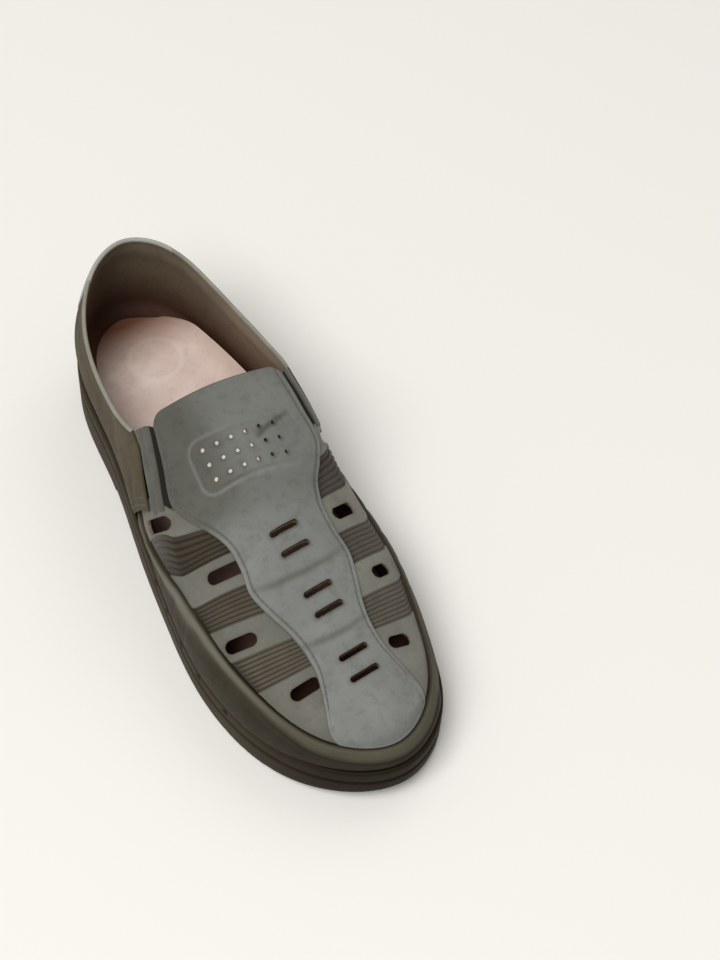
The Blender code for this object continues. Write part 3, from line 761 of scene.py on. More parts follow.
# %% [markdown]
# ## The quarters
# The quarters wrap the heel, from a closed seam at the back to slanted front edges that lap over the
# mudguard and the first strap. They could be one sheet with the mudguard, but the lap is a real step that
# catches the light. The trim covers their top edge, so a plain sheet with a soft dip under the collar is
# enough.

# %% Quarters
# Shares of the height and of the length of a quarter, closer together at the edges
QUARTER_UP = np.concatenate([np.linspace(0, 0.9, 38),
                             1 - np.array([0.085, 0.07, 0.055, 0.042, 0.03, 0.02, 0.012, 0.005, 0])])
QUARTER_ALONG = np.concatenate([np.linspace(0, 0.97, 130),
                                1 - np.array([0.024, 0.018, 0.013, 0.009, 0.006, 0.003, 0.001, 0])])
STAIN = (3.5, 0.219)         # station and rise of a dark spot on the lateral quarter


def quarter(name, side, shift):
    """One side of the heel, from the back seam to a slanted front edge."""
    sample = np.linspace(0, 4.5, 300)
    height = quarter_top(sample)
    front = np.full(len(QUARTER_UP), 4.0)
    for _ in range(12):      # the front edge slants, and the height depends on the station
        front = LAP[0] + shift + LAP[1] * QUARTER_UP * np.interp(front, sample, height)
    station = front[:, None] * QUARTER_ALONG[None, :]
    top = np.interp(station, sample, height)
    rise = QUARTER_UP[:, None] * top
    below = (top - rise) * RISE_MM
    behind = (front[:, None] - station) * STATION_MM
    dip = -0.4 * np.exp(-((QUARTER_UP[:, None] - 0.8) / 0.1)**2) * smooth_step(20, 50, behind)
    over_lap = (0.1 + 0.5 * side) * (1 - smooth_step(4, 18, behind))
    soft = dip + overhang(station, rise) + wall_creases(station, rise) + over_lap
    # Painted shade darkens the folded edges through the relief, and a stain darkens one spot
    edge = np.minimum(table(FOLD_ROWS, below), 0.8 * table(FOLD_ROWS, behind))
    spot = ((station - STAIN[0]) * STATION_MM)**2 + ((rise - STAIN[1]) * RISE_MM)**2
    piece = lasted(name, station * side % LOOP, rise, lift=1.15 + soft, relief=edge,
                   dirt_and_painted_shade=np.exp(-spot / 2.6) * (side > 0))
    thicken(piece, 0.7, (QUARTER_LEATHER, RAW_EDGE, LINING))
    return seat(piece, ("upper",))


for side_name, (side, shift) in SIDES.items():
    quarter("quarter_" + side_name, side, shift)

# %% [markdown]
# ## Straps and their slots
# Between the apron seam and the plug lie smooth straps, each with one round-ended slot. A slot could be
# cut with a boolean, but that leaves slivers. Here the faces inside its outline are deleted, and the ring
# of vertices that is left is first drawn onto the outline, as a punch leaves a clean edge.

# %% Holes
def slot_hole(station, rise, width):
    """A slot from a line of two points on the last.

    A hole is its middle, its direction and side, half its straight length, and its radius, in metres.
    """
    ends = form(station, rise)
    middle = to_frame(ends.mean(0))
    direction = to_frame(ends[1]) - to_frame(ends[0])
    length = np.linalg.norm(direction)
    direction /= length
    normal = outward(station.mean(), rise.mean()) * (1, -1, 1)
    side = np.cross(normal, direction)
    side /= np.linalg.norm(side)
    return middle, direction, side, (length - width * MM) / 2, width * MM / 2


# Side slots: stations and rises of the outer and inner end, width; stations as on the lateral side
SIDE_SLOTS = {
    "lateral": ((4.325, 0.19, 4.605, 0.5, 6.6), (5.395, 0.6, 5.566, 0.78, 6.3),
                (6.269, 0.52, 6.407, 0.665, 6.3), (7.295, 0.6, 7.452, 0.765, 6.0)),
    "medial": ((4.215, 0.19, 4.475, 0.475, 6.4), (5.253, 0.545, 5.4, 0.7, 6.0),
               (6.133, 0.535, 6.238, 0.645, 6.0), (7.157, 0.56, 7.309, 0.72, 6.0)),
}
HOLES = {name: [slot_hole(np.array([outer, inner]) * SIDES[name][0] % LOOP, np.array([low, high]), width)
                for outer, low, inner, high, width in rows] for name, rows in SIDE_SLOTS.items()}
print("side slots:", sum(len(holes) for holes in HOLES.values()))


# %% Piercing a sheet
def hole_place(points, hole):
    """Points along and across a hole, their nearest place on its middle line, and the distance to it."""
    middle, direction, side, straight = hole[:4]
    u = (points - middle) @ direction
    v = (points - middle) @ side
    line = np.clip(u, -straight, straight)
    return u, v, line, np.hypot(u - line, v)


def pierce(piece, holes, grow=0.0):
    """Open round-ended holes in a sheet, larger by a growth in millimetres."""
    mesh = piece.data
    points = read(mesh.vertices, "co", 3).astype(float)
    centre = read(mesh.polygons, "center", 3)
    sides = read(mesh.polygons, "loop_total", kind=np.int32)
    corner = read(mesh.loops, "vertex_index", kind=np.int32)
    face = np.repeat(np.arange(len(sides)), sides)
    gone = np.zeros(len(sides), bool)
    for hole in holes:
        middle, direction, side, straight, radius = hole
        radius = radius + grow * MM
        close = np.linalg.norm(centre - middle, axis=1) < straight + 3 * radius
        inside = close & (hole_place(centre, hole)[3] < radius)
        ring = np.intersect1d(corner[inside[face]], corner[~inside[face]])
        u, v, line, reach = hole_place(points[ring], hole)
        pull = (radius / np.maximum(reach, 1e-6) - 1)[:, None]
        points[ring] += pull * ((u - line)[:, None] * direction + v[:, None] * side)
        gone |= inside
    write(mesh.vertices, "co", points)
    take(piece)
    bpy.ops.object.mode_set(mode="EDIT")
    bpy.ops.mesh.select_mode(type="FACE")
    bpy.ops.mesh.select_all(action="DESELECT")
    bpy.ops.object.mode_set(mode="OBJECT")
    mesh.polygons.foreach_set("select", gone)
    bpy.ops.object.mode_set(mode="EDIT")
    bpy.ops.mesh.delete(type="FACE")
    bpy.ops.object.mode_set(mode="OBJECT")


def hole_edge(points, holes, roll):
    """Relief that rolls a sheet down towards the rim of each hole."""
    relief = np.zeros(points.shape[:-1])
    for hole in holes:
        reach = hole_place(points, hole)[3] - hole[4]
        near = np.linalg.norm(points - hole[0], axis=-1) < hole[3] + hole[4] + 4 * MM
        relief += np.where(near, -roll * np.exp(-np.clip(reach / MM, 0, 9) / 0.5), 0)
    return relief


longest = max(2 * (hole[3] + hole[4]) for hole in HOLES["lateral"])
print("longest side slot:", round(longest / MM, 1), "mm")

# %% Lines across the foot
SLANT = 0.95                 # stations that a strap gains from feather to ridge
FIRST_SLANT = 0.5            # the rear edge of the first strap gains this much more
STRAPS = ((4.5, 4.73), (5.09, 5.56), (5.99, 6.44), (6.92, 8.35))     # rear and front at the shoulder


def cross_lines(side, shift, starts, low_gap, high_gap, count):
    """Lines from the apron seam to the plug, slanted as the straps are: stations and rises."""
    rise = np.linspace(0.06, 0.95, 600)
    rear, front = STRAPS[0]
    slant = SLANT + FIRST_SLANT * np.clip((front - starts) / (front - rear), 0, 1)
    lines = []
    for at, gain in zip(starts, slant):
        station = at + shift + gain * (rise - 0.5)
        low, high = seam_rise(station * side % LOOP) + low_gap, plug_rise(station) + high_gap
        inside = (rise > low) & (rise < high) & (station < TOE)
        first = np.argmax(inside)
        last = first + np.argmin(inside[first:]) - 1
        lines.append(np.linspace(rise[first], rise[last], count))
    rises = np.stack(lines, 1)
    stations = (starts + shift + slant * (rises - 0.5)) * side % LOOP
    return stations, rises


print("straps on a side:", len(STRAPS))

# %% Straps
STRAP_EDGE = ((-0.1, -1.0), (0.0, -0.55), (0.3, -0.16), (0.7, -0.02), (1.2, 0.0), (1.7, 0.0), (99, 0.0))
EDGE_STATIONS = np.array([0.005, 0.012, 0.022, 0.034])     # extra columns beside the edges of a strap
SEAM_GAP, PLUG_GAP = 0.004, 0.035      # rises from the apron seam, and on under the plug


def edge_distance(points):
    """Millimetres of each grid point from the nearer of the two long sides of a strip."""
    step = np.linalg.norm(np.diff(points, axis=1), axis=-1)
    run = np.concatenate([np.zeros((len(points), 1)), np.cumsum(step, 1)], 1)
    return np.minimum(run, run[:, -1:] - run)


def seam_falloff(points, amount, reach=3.5):
    """Falloff from the apron seam, at the first row of a strip: painted shade along the seam, and how far
    ribs are pressed flat; reach in millimetres.
    """
    step = np.linalg.norm(np.diff(points, axis=0), axis=-1)
    run = np.concatenate([np.zeros((1, points.shape[1])), np.cumsum(step, 0)])
    return amount * np.exp(-run / reach)


for side_name, (side, shift) in SIDES.items():
    for number, (rear, front) in enumerate(STRAPS):
        inner = np.linspace(rear, front, max(24, int((front - rear) * 60)))
        starts = np.unique(np.concatenate([inner, rear + EDGE_STATIONS, front - EDGE_STATIONS]))
        stations, rises = cross_lines(side, shift, starts, SEAM_GAP, PLUG_GAP, 64)
        flat = form(stations, rises)
        # Painted shade darkens the strap at its edges, round its slot and along the apron seam
        relief = table(STRAP_EDGE, edge_distance(flat))
        relief = relief + hole_edge(to_frame(flat), HOLES[side_name], 0.35)
        # The rear foot of the first strap is drawn down, under the quarter
        sink = (1 - smooth_step(0.02, 0.15, starts - rear)) * (1 - smooth_step(0.26, 0.31, rises))
        sink = sink * (number == 0)
        strap = lasted("strap_%s_%d" % (side_name, number), stations, rises, lift=0.2 - 1.15 * sink,
                       relief=relief * (1 - sink), dirt_and_painted_shade=seam_falloff(flat, 0.45))
        pierce(strap, [HOLES[side_name][number]])
        thicken(strap, 1.2, (STRAP_NUBUCK, RAW_EDGE, LINING))
        seat(strap, ("upper",))

# %% [markdown]
# ## Ribbed inserts and gores
# The inserts are corded cotton, and the gores are elastic webbing that lets the throat open. Their ribs
# could be a bump in the finish, but they are big enough to catch light from the side, so they are in the
# mesh: a row of round crests across a grid. The threads that bind the cords stay in the finish. A gore's
# lower end is folded in and lies over the first strap.

# %% Ribbed inserts
# Insert: rear and front station, ribs, and how far the painted shade and the pressed ends reach from the
# seam in mm
INSERTS = (("1", 4.715, 5.13, 7, 26, 9), ("2", 5.52, 6.03, 8, 4, 2), ("3", 6.4, 6.96, 9, 4, 2))
RIB_COLUMNS = 8              # mesh columns in one rib
RIB_HEIGHT = 0.6


def ribs(count, height):
    """Round crests side by side, with narrow valleys."""
    turn = np.linspace(0, count, count * RIB_COLUMNS + 1)
    return height * (np.abs(np.sin(math.pi * turn))**0.7 - 0.75)


for side_name, (side, shift) in SIDES.items():
    for label, rear, front, count, shade_reach, pressed in INSERTS:
        crest = ribs(count, RIB_HEIGHT)
        starts = np.linspace(rear, front, len(crest))
        stations, rises = cross_lines(side, shift, starts, SEAM_GAP, 0.03, 60)
        flat = form(stations, rises)
        relief = crest * (1 - seam_falloff(flat, 1.0, pressed))
        insert = lasted("ribbed_insert_%s_%s" % (side_name, label), stations, rises, lift=-0.4,
                        relief=relief, dirt_and_painted_shade=seam_falloff(flat, 1.0, shade_reach))
        thicken(insert, 0.5, (RIBBED, RIBBED, LINING))
        seat(insert, ("ribbed_band_%s_%s" % (side_name, label),))

# %% Gores
# Across the gore from the quarter to the saddle: share of the width and height of the webbing
GORE_ROWS = ((0, -0.9), (0.06, -0.8), (0.12, 0.1), (0.22, 0.35), (0.32, 0.22), (0.4, 0.14), (0.5, 0.35),
             (0.6, 0.4), (0.68, 0.2), (0.73, -0.7), (0.78, -1.2), (1, -1.2))
for side_name, (side, shift) in SIDES.items():
    share, run = np.meshgrid(np.linspace(0, 1, 60), np.linspace(0, 1, 70))
    upper_end, lower_end = COLLAR_END + 0.01 + 0.22 * share, 4.37 + shift + 0.19 * share
    station = upper_end + run * (lower_end - upper_end)
    low = gore_edge(station) - 0.012
    rises = low + (plug_rise(station) + 0.025 - low) * share
    foot = 0.15 - 0.4 * smooth_step(0.97, 1, run)    # the folded lower end turns down
    # The deep folds beside the quarter and under the saddle's edge get painted shade through the relief
    gore = lasted("gore_elastic_" + side_name, station * side % LOOP, rises, lift=0.35 + foot,
                  relief=table(GORE_ROWS, share))
    thicken(gore, 0.6, (ELASTIC, ELASTIC, LINING))
    seat(gore, ("gore_" + side_name,))

# %% [markdown]
# ## The plug
# The plug is one piece of nubuck: a saddle over the instep that runs on as a wavy strip to the toe. Its
# edge is a rolled bead with a stitched groove inside it. Six cross slots air the foot, and a raised line
# frames rows of pinholes on the saddle, with a pale backing behind the lateral ones. Creases could be
# sculpted; here they are soft troughs where the foot bends, along short paths in the shoe's own
# millimetres (x to the medial side, y to the heel), so that they can be moved and read.

# %% Raised frame, creases and holes
def rounded_frame(middle, half, radius, steps=6):
    """Closed path of a rectangle with round corners."""
    path = []
    for turn, (i, j) in enumerate(((1, 1), (-1, 1), (-1, -1), (1, -1))):
        angle = np.linspace(0, math.pi / 2, steps) + turn * math.pi / 2
        path += [(middle[0] + i * (half[0] - radius) + radius * math.cos(a),
                  middle[1] + j * (half[1] - radius) + radius * math.sin(a)) for a in angle]
    return path + path[:1]


# Creases: path, width, depth (a ridge has a negative depth)
CREASES = (
    (((-23, -53), (-12, -56), (2, -56.5), (14, -55), (25, -51)), 1.6, 0.3),
    (((-22, -60), (-10, -61), (4, -60.5), (16, -59)), 3.5, -0.25),
    (((-18, -85), (-6, -87), (8, -86.5), (21, -83)), 1.6, 0.28),
    (((-33, -14), (-20, -22), (-4, -26), (14, -25), (30, -17)), 4.0, 0.4),
    (((-30, -6), (-22, -14), (-12, -19)), 2.2, 0.25),
    (((34, -4), (26, -12), (15, -17)), 2.2, 0.25),
    (((-24, 26), (-8, 22), (10, 22), (27, 27)), 5.0, 0.35),
    (((-12, -116), (2, -119), (15, -116)), 5.0, 0.3),
    (((9, 4.5), (14, 7.2), (20, 9.6), (29, 12.5)), 1.1, 0.5),
    (((12, 2.5), (18, 5.5), (26, 8)), 2.0, -0.4),
)
SHARP = 2                    # a crease narrower than this also gets painted shade in the finish
FRAME_LINE = rounded_frame((2.2, 1.8), (24.0, 12.0), 6.0)
FRAME_INSIDE = rounded_frame((2.2, 1.8), (22.4, 10.4), 4.6)
PINHOLES = [(-15.6 + 7.1 * i, 8.5 - 6.7 * j) for i in range(6) for j in range(3)]
PIN_SIZE = (1.9, 1.899)      # length and width: almost round
PLUG_SLOTS = ((1.8, -36.6), (2.6, -46.3), (3.4, -66.0), (3.8, -75.8), (4.3, -97.2), (4.4, -107.6))
PLUG_SLOT_SIZE = (14.6, 2.8)
SLOT_TILT = math.radians(6)
print("creases:", len(CREASES), "pinholes:", len(PINHOLES))

# %% Plug grid
PLUG_EDGE = ((0.0, -1.3), (0.2, -0.6), (0.45, -0.12), (0.8, 0.2), (1.3, 0.32), (1.8, 0.18), (2.2, -0.12),
             (2.6, -0.24), (3.0, -0.14), (3.6, -0.02), (4.4, 0.0), (5.2, 0.0), (99, 0.0))
EDGE_STEPS = np.array([0, 0.15, 0.3, 0.5, 0.75, 1.05, 1.35, 1.65, 1.95, 2.25, 2.55, 2.85, 3.2, 3.7, 4.4])
REAR_STEPS = np.array([0, 0.15, 0.3, 0.5, 0.75, 1.05, 1.35, 1.65, 1.95, 2.25, 2.6, 3.0, 3.5])
RIDGE_MM = 41.0              # millimetres in a station along the ridge, at the saddle's rear edge
CORNER = 6.0                 # round corner of the saddle's rear edge


def plug_sheet():
    """Stations, rises, and distances from the side edge and the rear edge, over the grid of the plug."""
    rear = THROAT + REAR_STEPS / RIDGE_MM
    row = np.concatenate([rear, even_stations(rear[-1], TOE, 290)[1:]])
    edge = plug_rise(row)
    up = np.linspace(0, 1, 60)[None, :]
    line = form(row[:, None], edge[:, None] + (1 - edge[:, None]) * up)
    half = np.linalg.norm(np.diff(line, axis=1), axis=-1).sum(1)
    near = EDGE_STEPS[None, :] / half[:, None]
    inner = near[:, -1:] + (1 - near[:, -1:]) * np.linspace(0, 1, 41)[None, 1:]
    share = np.concatenate([near, inner], 1)
    distance = share * half[:, None]
    corner = CORNER - np.sqrt(CORNER**2 - np.clip(CORNER - distance, 0, CORNER)**2)
    first = THROAT + corner / RIDGE_MM
    station = first + (row[:, None] - THROAT) * (TOE - first) / (TOE - THROAT)
    rise = plug_rise(station) + (1 - plug_rise(station)) * share
    behind = (station - first) * RIDGE_MM
    halves = ((station, (LOOP - station) % LOOP), (rise, rise), (distance, distance), (behind, behind))
    return [np.concatenate([lateral, medial[:, -2::-1]], 1) for lateral, medial in halves]


station, rise, distance, behind = plug_sheet()
print("plug grid:", station.shape)

# %% Relief of the plug
flat = form(station, rise)
x, y = flat[..., 0] - CENTRE[0], CENTRE[1] - flat[..., 1]
toe_fade = 1 - smooth_step(7.75, 8.05, near_side(station))
relief = toe_fade * table(PLUG_EDGE, distance) + (1 - toe_fade) * table(STRAP_EDGE, distance)
relief = np.minimum(relief, table(STRAP_EDGE, behind))
broad = np.zeros(x.shape)
for path, width, depth in CREASES:
    if width < SHARP:
        relief = relief + trough(x, y, path, width, depth)
    else:
        broad = broad + trough(x, y, path, width, depth)
# The raised frame is made pale along its crest, a painted highlight with wear, and shaded beside it
raised = (trough(x, y, FRAME_LINE, 0.8, -0.3, closed=True)
          + trough(x, y, FRAME_INSIDE, 0.8, 0.16, closed=True))
relief = relief + raised * (0.25 + 0.75 * smooth_step(-14, 18, -x - y))    # wear flattened its medial end
print("relief of the plug:", relief.min().round(2), "to", relief.max().round(2), "mm")


# %% Plug
def plan_hole(place, size, turn):
    """A hole given in plan at a place on the plug, with its length, width and turn."""
    nearest = np.argmin((x - place[0]).ravel()**2 + (y - place[1]).ravel()**2)
    middle = np.array([*place, flat[..., 2].ravel()[nearest]]) * MM
    direction = np.array([math.cos(turn), math.sin(turn), 0.0])
    side = np.array([-math.sin(turn), math.cos(turn), 0.0])
    return middle, direction, side, (size[0] - size[1]) / 2 * MM, size[1] / 2 * MM


slots = [plan_hole(place, PLUG_SLOT_SIZE, SLOT_TILT) for place in PLUG_SLOTS]
pins = [plan_hole(place, PIN_SIZE, 0.0) for place in PINHOLES]
# Edges roll down into the slots and pinholes, and these rolls get painted shade
relief = relief + hole_edge(to_frame(flat), slots, 0.4) + hole_edge(to_frame(flat), pins, 0.25)
# The edge is tucked down into the toe seam, and the saddle is darker on its lateral side and along the
# instep's fold
tuck = 1.4 * smooth_step(7.98, 8.2, near_side(station)) * (1 - smooth_step(1.2, 7, distance))
dirt_and_painted_shade = 1.1 * smooth_step(-6, 24, -x) * smooth_step(-30, -6, y) + 0.3 * np.exp(-((y + 18) / 9)**2)
plug = lasted("vamp_plug_nubuck", station, rise, lift=1.7 + broad - tuck, relief=relief, dirt_and_painted_shade=dirt_and_painted_shade)
edit(plug, WELD)
pierce(plug, slots + pins)
thicken(plug, 1.0, (NUBUCK, RAW_EDGE, LINING))
seat(plug, ("vamp_plug",))

# %% Pale backing
middle = station.shape[1] // 2
near_frame = np.where(np.abs(y[:, middle] - 2) < 12)[0]
block = (slice(near_frame[0], near_frame[-1], 2), slice(middle - 24, middle + 7))
backing = lasted("pinhole_backing", station[block], rise[block], lift=0.85)
thicken(backing, 0.3, (BACKING, BACKING, BACKING))
seat(backing)

# %% [markdown]
# ## Lining
# Brown pigskin lines the whole shoe. The inner faces of the panels could do for it, but light would come
# through the gaps between them. So a vault lines the front and has the same slots, a little larger, for
# the holes to go right through, and a second sheet lines the heel up to the collar.

# %% Front lining
UP_COUNT = 50                # grid points from the feather to the ridge
row = even_stations(THROAT + 0.03, TOE, 130)
up = np.linspace(0, 1, UP_COUNT)
vault_rise = np.repeat(np.concatenate([up, up[-2::-1]])[None, :], len(row), 0)
# Behind the gores the rear edge stands back, out of sight
start = row[0] + 0.18 * smooth_step(0.34, 0.44, vault_rise) * (1 - smooth_step(0.6, 0.78, vault_rise))
vault_station = start + (row[:, None] - row[0]) * (TOE - start) / (TOE - row[0])
vault_station[:, UP_COUNT:] = (LOOP - vault_station[:, UP_COUNT:]) % LOOP
vault = lasted("vamp_lining", vault_station, vault_rise, lift=-1.15)
edit(vault, WELD)
pierce(vault, HOLES["lateral"] + HOLES["medial"] + slots, grow=0.3)
thicken(vault, 0.5, (LINING, LINING, LINING))
seat(vault, ("upper",))

# %% Heel lining
column = even_stations(LOOP - THROAT - 0.06, LOOP + THROAT + 0.06, 240)
top = quarter_top(column) - 0.005
share = np.linspace(0, 1, 40)[:, None]
# A soft hollow under the collar, and a foot drawn in to the foot bed
soft = -0.9 * np.exp(-((share - 0.84) / 0.1)**2) - 5.0 * (1 - smooth_step(0.0, 0.17, share))
heel_lining = lasted("heel_lining", np.repeat(column[None, :], len(share), 0), share * top[None, :],
                     lift=0.3 + soft)
# Painted light: the lining is paler high on the medial side, where light falls in through the opening, and
# low on the lateral side, against the shade there
across, back, height = (read(heel_lining.data.vertices, "co", 3).astype(float) / MM).T
pale_tone = smooth_step(8, 35, across) * smooth_step(32, 62, height) * (1 - smooth_step(75, 125, back))
store(heel_lining, "wear_and_painted_light", pale_tone + 0.9 * smooth_step(6, 24, -across) * (1 - smooth_step(60, 85, height)))
thicken(heel_lining, 0.6, (LINING, LINING, LINING))
seat(heel_lining, ("upper",))

# %% [markdown]
# ## Collar trim and heel tab
# A strip of light leather is folded over the collar, and a tab of the same grey covers the back seam. A
# bevelled curve could make the strip, but not its two unequal legs. Both are a closed section swept along
# the collar: a table of drop below the collar line and distance out.

# %% Collar trim
TRIM = ((1.7, 1.15), (1.6, 1.35), (0.9, 1.45), (0.1, 1.4), (-0.35, 1.1), (-0.55, 0.6), (-0.5, 0.2),
        (-0.25, -0.2), (0.2, -0.42), (0.8, -0.5), (1.1, -0.46), (1.2, -0.25), (0.7, -0.2), (0.3, 0.0),
        (0.1, 0.5), (0.5, 1.0))
TAB = ((24, 1.25), (23.6, 1.7), (22, 1.8), (12, 1.85), (4, 1.85), (0.6, 1.75), (-0.35, 1.4), (-0.65, 0.75),
       (-0.6, 0.1), (-0.3, -0.35), (0.2, -0.58), (0.8, -0.62), (1.1, -0.55), (1.2, -0.3), (0.7, -0.25),
       (0.3, -0.1), (0.1, 0.5), (0.6, 1.2), (10, 1.25))
WALL_LIFT = 1.25             # lift that the outer face thins down to at the ends of a trim
TAB_END = 1.3                # stations from the back seam to the end of the tab
TRIM_START = 1.26            # the trim starts under the tab


def folded_trim(name, first, last, count, profile, corner, leather_finish):
    """Trim folded over the collar, from a closed profile of drop and lift; corners round its lower edge."""
    stations = even_stations(first, last, count)
    top = collar_height(stations)
    end = np.clip(np.abs(2 * np.linspace(0, 1, count + 1) - 1), 0, 1)
    shorter = 1 - corner * end**8
    rows = []
    for drop, lift in profile + profile[:1]:
        height = top - (drop * shorter if drop > 6 else drop)
        thin = WALL_LIFT + (lift - WALL_LIFT) * (1 - 0.75 * end**40) if lift > WALL_LIFT else lift
        wall = rise_at(stations, height)
        rows.append(form(stations, wall) + outward(stations, wall) * np.reshape(thin, (-1, 1)))
    piece = grid_piece(name, np.stack(rows))
    edit(piece, WELD, CAP, FACE_OUT)
    modify(piece, "SUBSURF", levels=1, render_levels=1)
    piece.data.materials.append(leather_finish)
    smooth(piece, 60)
    return piece


for side_name, first, last in (("lateral", LOOP + TRIM_START, LOOP + COLLAR_END),
                               ("medial", LOOP - COLLAR_END, LOOP - TRIM_START)):
    trim = folded_trim("collar_trim_" + side_name, first, last, 90, TRIM, 0.0, TRIM_LEATHER)
    seat(trim, ("binding_" + side_name,))
tab = folded_trim("heel_tab_leather", LOOP - TAB_END, LOOP + TAB_END, 60, TAB, 0.2, TAB_LEATHER)
seat(tab, ("heel_tab",))

# %% [markdown]
# ## Foot bed
# The foot bed is a leather-covered board that dips a little in the middle and turns up at its edge, most
# of all along the medial arch. A plain pressed ring marks the heel. An extruded outline would be flat, so
# a grid from side to side carries all of these as heights.

# %% Edge of the foot bed
ARCH = (9.0, 5.5)            # height and width of the rim that turns up along the medial arch
BED_ENDS = (6.5, 284.0)      # distances from the heel where the bed starts and ends


def arch_share(far):
    """How much the rim turns up at a distance from the heel."""
    return smooth_step(8, 38, far) * (1 - smooth_step(105, 150, far))


def bed_edge(where):
    """Edge of the foot bed: inset and height, with a cushion under the heel and a wider medial arch."""
    far = outline(where, 8.0)[:, 1]
    cushion = 1 - smooth_step(90, 160, far)
    inset = 8.1 - 0.6 * cushion - 2.8 * arch_share(far) * (where > TOE)
    return np.column_stack([outline(where, inset), along("feather", where) - 2.2 + 3.2 * cushion])


stations = even_stations(0.0, float(TOE), 220)
lateral, medial = bed_edge(stations), bed_edge((LOOP - stations) % LOOP)
width = np.linalg.norm(medial - lateral, axis=1)[:, None]
print("foot bed:", width.max().round(1), "mm wide")

# %% Foot bed
RING = (6.0, 107.0, 13.0)    # x, y and radius of the pressed ring
across = 0.5 - 0.5 * np.cos(np.linspace(0, math.pi, 71))
bed = lateral[:, None] * (1 - across[None, :, None]) + medial[:, None] * across[None, :, None]
rim = np.minimum(across, 1 - across)[None, :] * width
rim = np.minimum(rim, np.minimum(bed[..., 1] - BED_ENDS[0], BED_ENDS[1] - bed[..., 1]))
turned = 1.3 * np.exp(-np.clip(rim, 0, 99) / 4.0) - 0.9 * np.exp(-np.clip(rim, 0, 99) / 0.7)
x, y = bed[..., 0] - CENTRE[0], CENTRE[1] - bed[..., 1]
reach = np.hypot(x - RING[0], y - RING[1])
ring = 0.12 * (1 - smooth_step(RING[2] - 4, RING[2], reach)) + 0.4 * np.exp(-((reach - RING[2]) / 1.3)**2)
arch = ARCH[0] * arch_share(bed[..., 1]) * np.exp(-((1 - across)[None, :] * width / ARCH[1])**1.3)
bed[..., 2] += turned + ring + arch
# Painted shade darkens the bed towards its rim, under the lining; the pressed ring is made pale
insole = grid_piece("foot_bed", bed[::-1], (ring - 0.25 * np.exp(-rim / 5.0))[::-1])
edit(insole, WELD)
thicken(insole, 3.0, (FOOTBED, RAW_EDGE, LINING))
seat(insole, ("insole",))

# %% [markdown]
# ## Sole unit
# The sole is one rubber moulding: a wall with a groove round it, a lip that holds the upper, lugs and an
# arch underneath and a toe that springs off the floor. It could be cut from a block with booleans, but a
# mould has round corners everywhere. A profile swept round the outline gives the wall, and a grid from
# side to side gives the tread. Grooves and arch are heights that push the tread up.

# %% Heights of the tread
SPRING_START, TOE_SPRING = 232.0, 8.5
HEEL_BREAST, ARCH_END, ARCH_RISE = 86.0, 150.0, 6.0
LUG_GROOVES = (22, 35, 48, 61, 74, 163, 176, 189, 202, 215, 228, 241, 254)
LUG_DEPTH = 2.0


def spring(s):
    """Height of the floor side of the sole, which springs up at the toe."""
    return TOE_SPRING * np.clip((s - SPRING_START) / (LAST["s_lat"][-1] - SPRING_START), 0, 1)**2


def tread_roof(s):
    """Height that the tread is raised to: lug grooves and the arch."""
    groove = np.zeros(s.shape)
    for middle in LUG_GROOVES:
        groove = np.maximum(groove, LUG_DEPTH * (1 - smooth_step(1.1, 1.7, np.abs(s - middle))))
    t = np.clip((s - HEEL_BREAST) / (ARCH_END - HEEL_BREAST), 0, 1)
    arch = ARCH_RISE * (1 - t**2) * np.clip(1.3 - 0.3 * t, 0, 1) * (s > HEEL_BREAST)
    return spring(s) + np.maximum(groove, arch)


print("lug grooves:", len(LUG_GROOVES), "toe spring:", TOE_SPRING, "mm")

# %% Sole wall
HALF = 330                   # grid steps from heel to toe on one side
PITS = (4.66, 5.01, 5.56, 6.1, 6.65)   # stations of small moulded pits in the wall, on both sides
PIT_DEPTH, PIT_WIDTH, PIT_HEIGHT = 1.2, 1.5, 0.3
# Inset from the outline, with the height over the floor for the foot and from the feather line above it
FOOT_ROWS = ((2.0, 0.0), (1.3, 0.25), (0.7, 0.9), (0.3, 1.8), (0.05, 3.0), (0.0, 4.5))
LIP_ROWS = ((0.0, -8.5), (0.0, -6.9), (0.08, -6.4), (0.4, -6.0), (0.7, -5.6), (0.8, -5.1), (0.7, -4.6),
            (0.4, -4.1), (0.08, -3.7), (0.0, -3.3), (0.0, -2.7), (0.0, -2.1), (0.0, -1.5), (0.0, -0.9),
            (0.0, -0.3), (0.0, 0.6), (0.08, 1.5), (0.35, 2.2), (0.8, 2.65), (1.3, 2.8), (1.75, 2.7),
            (2.05, 2.3), (2.2, 1.6), (2.2, -0.3), (7.6, -0.3), (7.6, -6.0))
GROOVE_FIRST, GROOVE_LAST = 9, 13      # rows of the profile that lie in the groove
half_station = even_stations(0.0, float(TOE), HALF)
ring_station = np.concatenate([half_station, LOOP - half_station[-2:0:-1]])
feather = along("feather", ring_station)
floor = spring(outline(ring_station, 0.0)[:, 1])
profile = ([(inset, floor + up) for inset, up in FOOT_ROWS]
           + [(inset, feather + up) for inset, up in LIP_ROWS])
pitted = np.zeros((len(profile), len(ring_station)))
for pit in PITS:
    for side in (1, -1):
        middle = outline(np.array([pit * side % LOOP]), 0.0)
        run = np.linalg.norm(outline(ring_station, 0.0) - middle, axis=1)
        for i, (inset, height) in enumerate(profile):
            pitted[i] += np.exp(-(np.hypot(run, height - feather - PIT_HEIGHT) / PIT_WIDTH)**4)
wall = np.stack([np.column_stack([outline(ring_station, inset + PIT_DEPTH * pit), height])
                 for (inset, height), pit in zip(profile, pitted)])
under_lip = wall[len(FOOT_ROWS), :, 2]
wall[..., 2] = np.maximum(wall[..., 2], np.minimum(tread_roof(wall[..., 1]), under_lip))
wall = np.concatenate([wall, wall[:, :1]], 1)
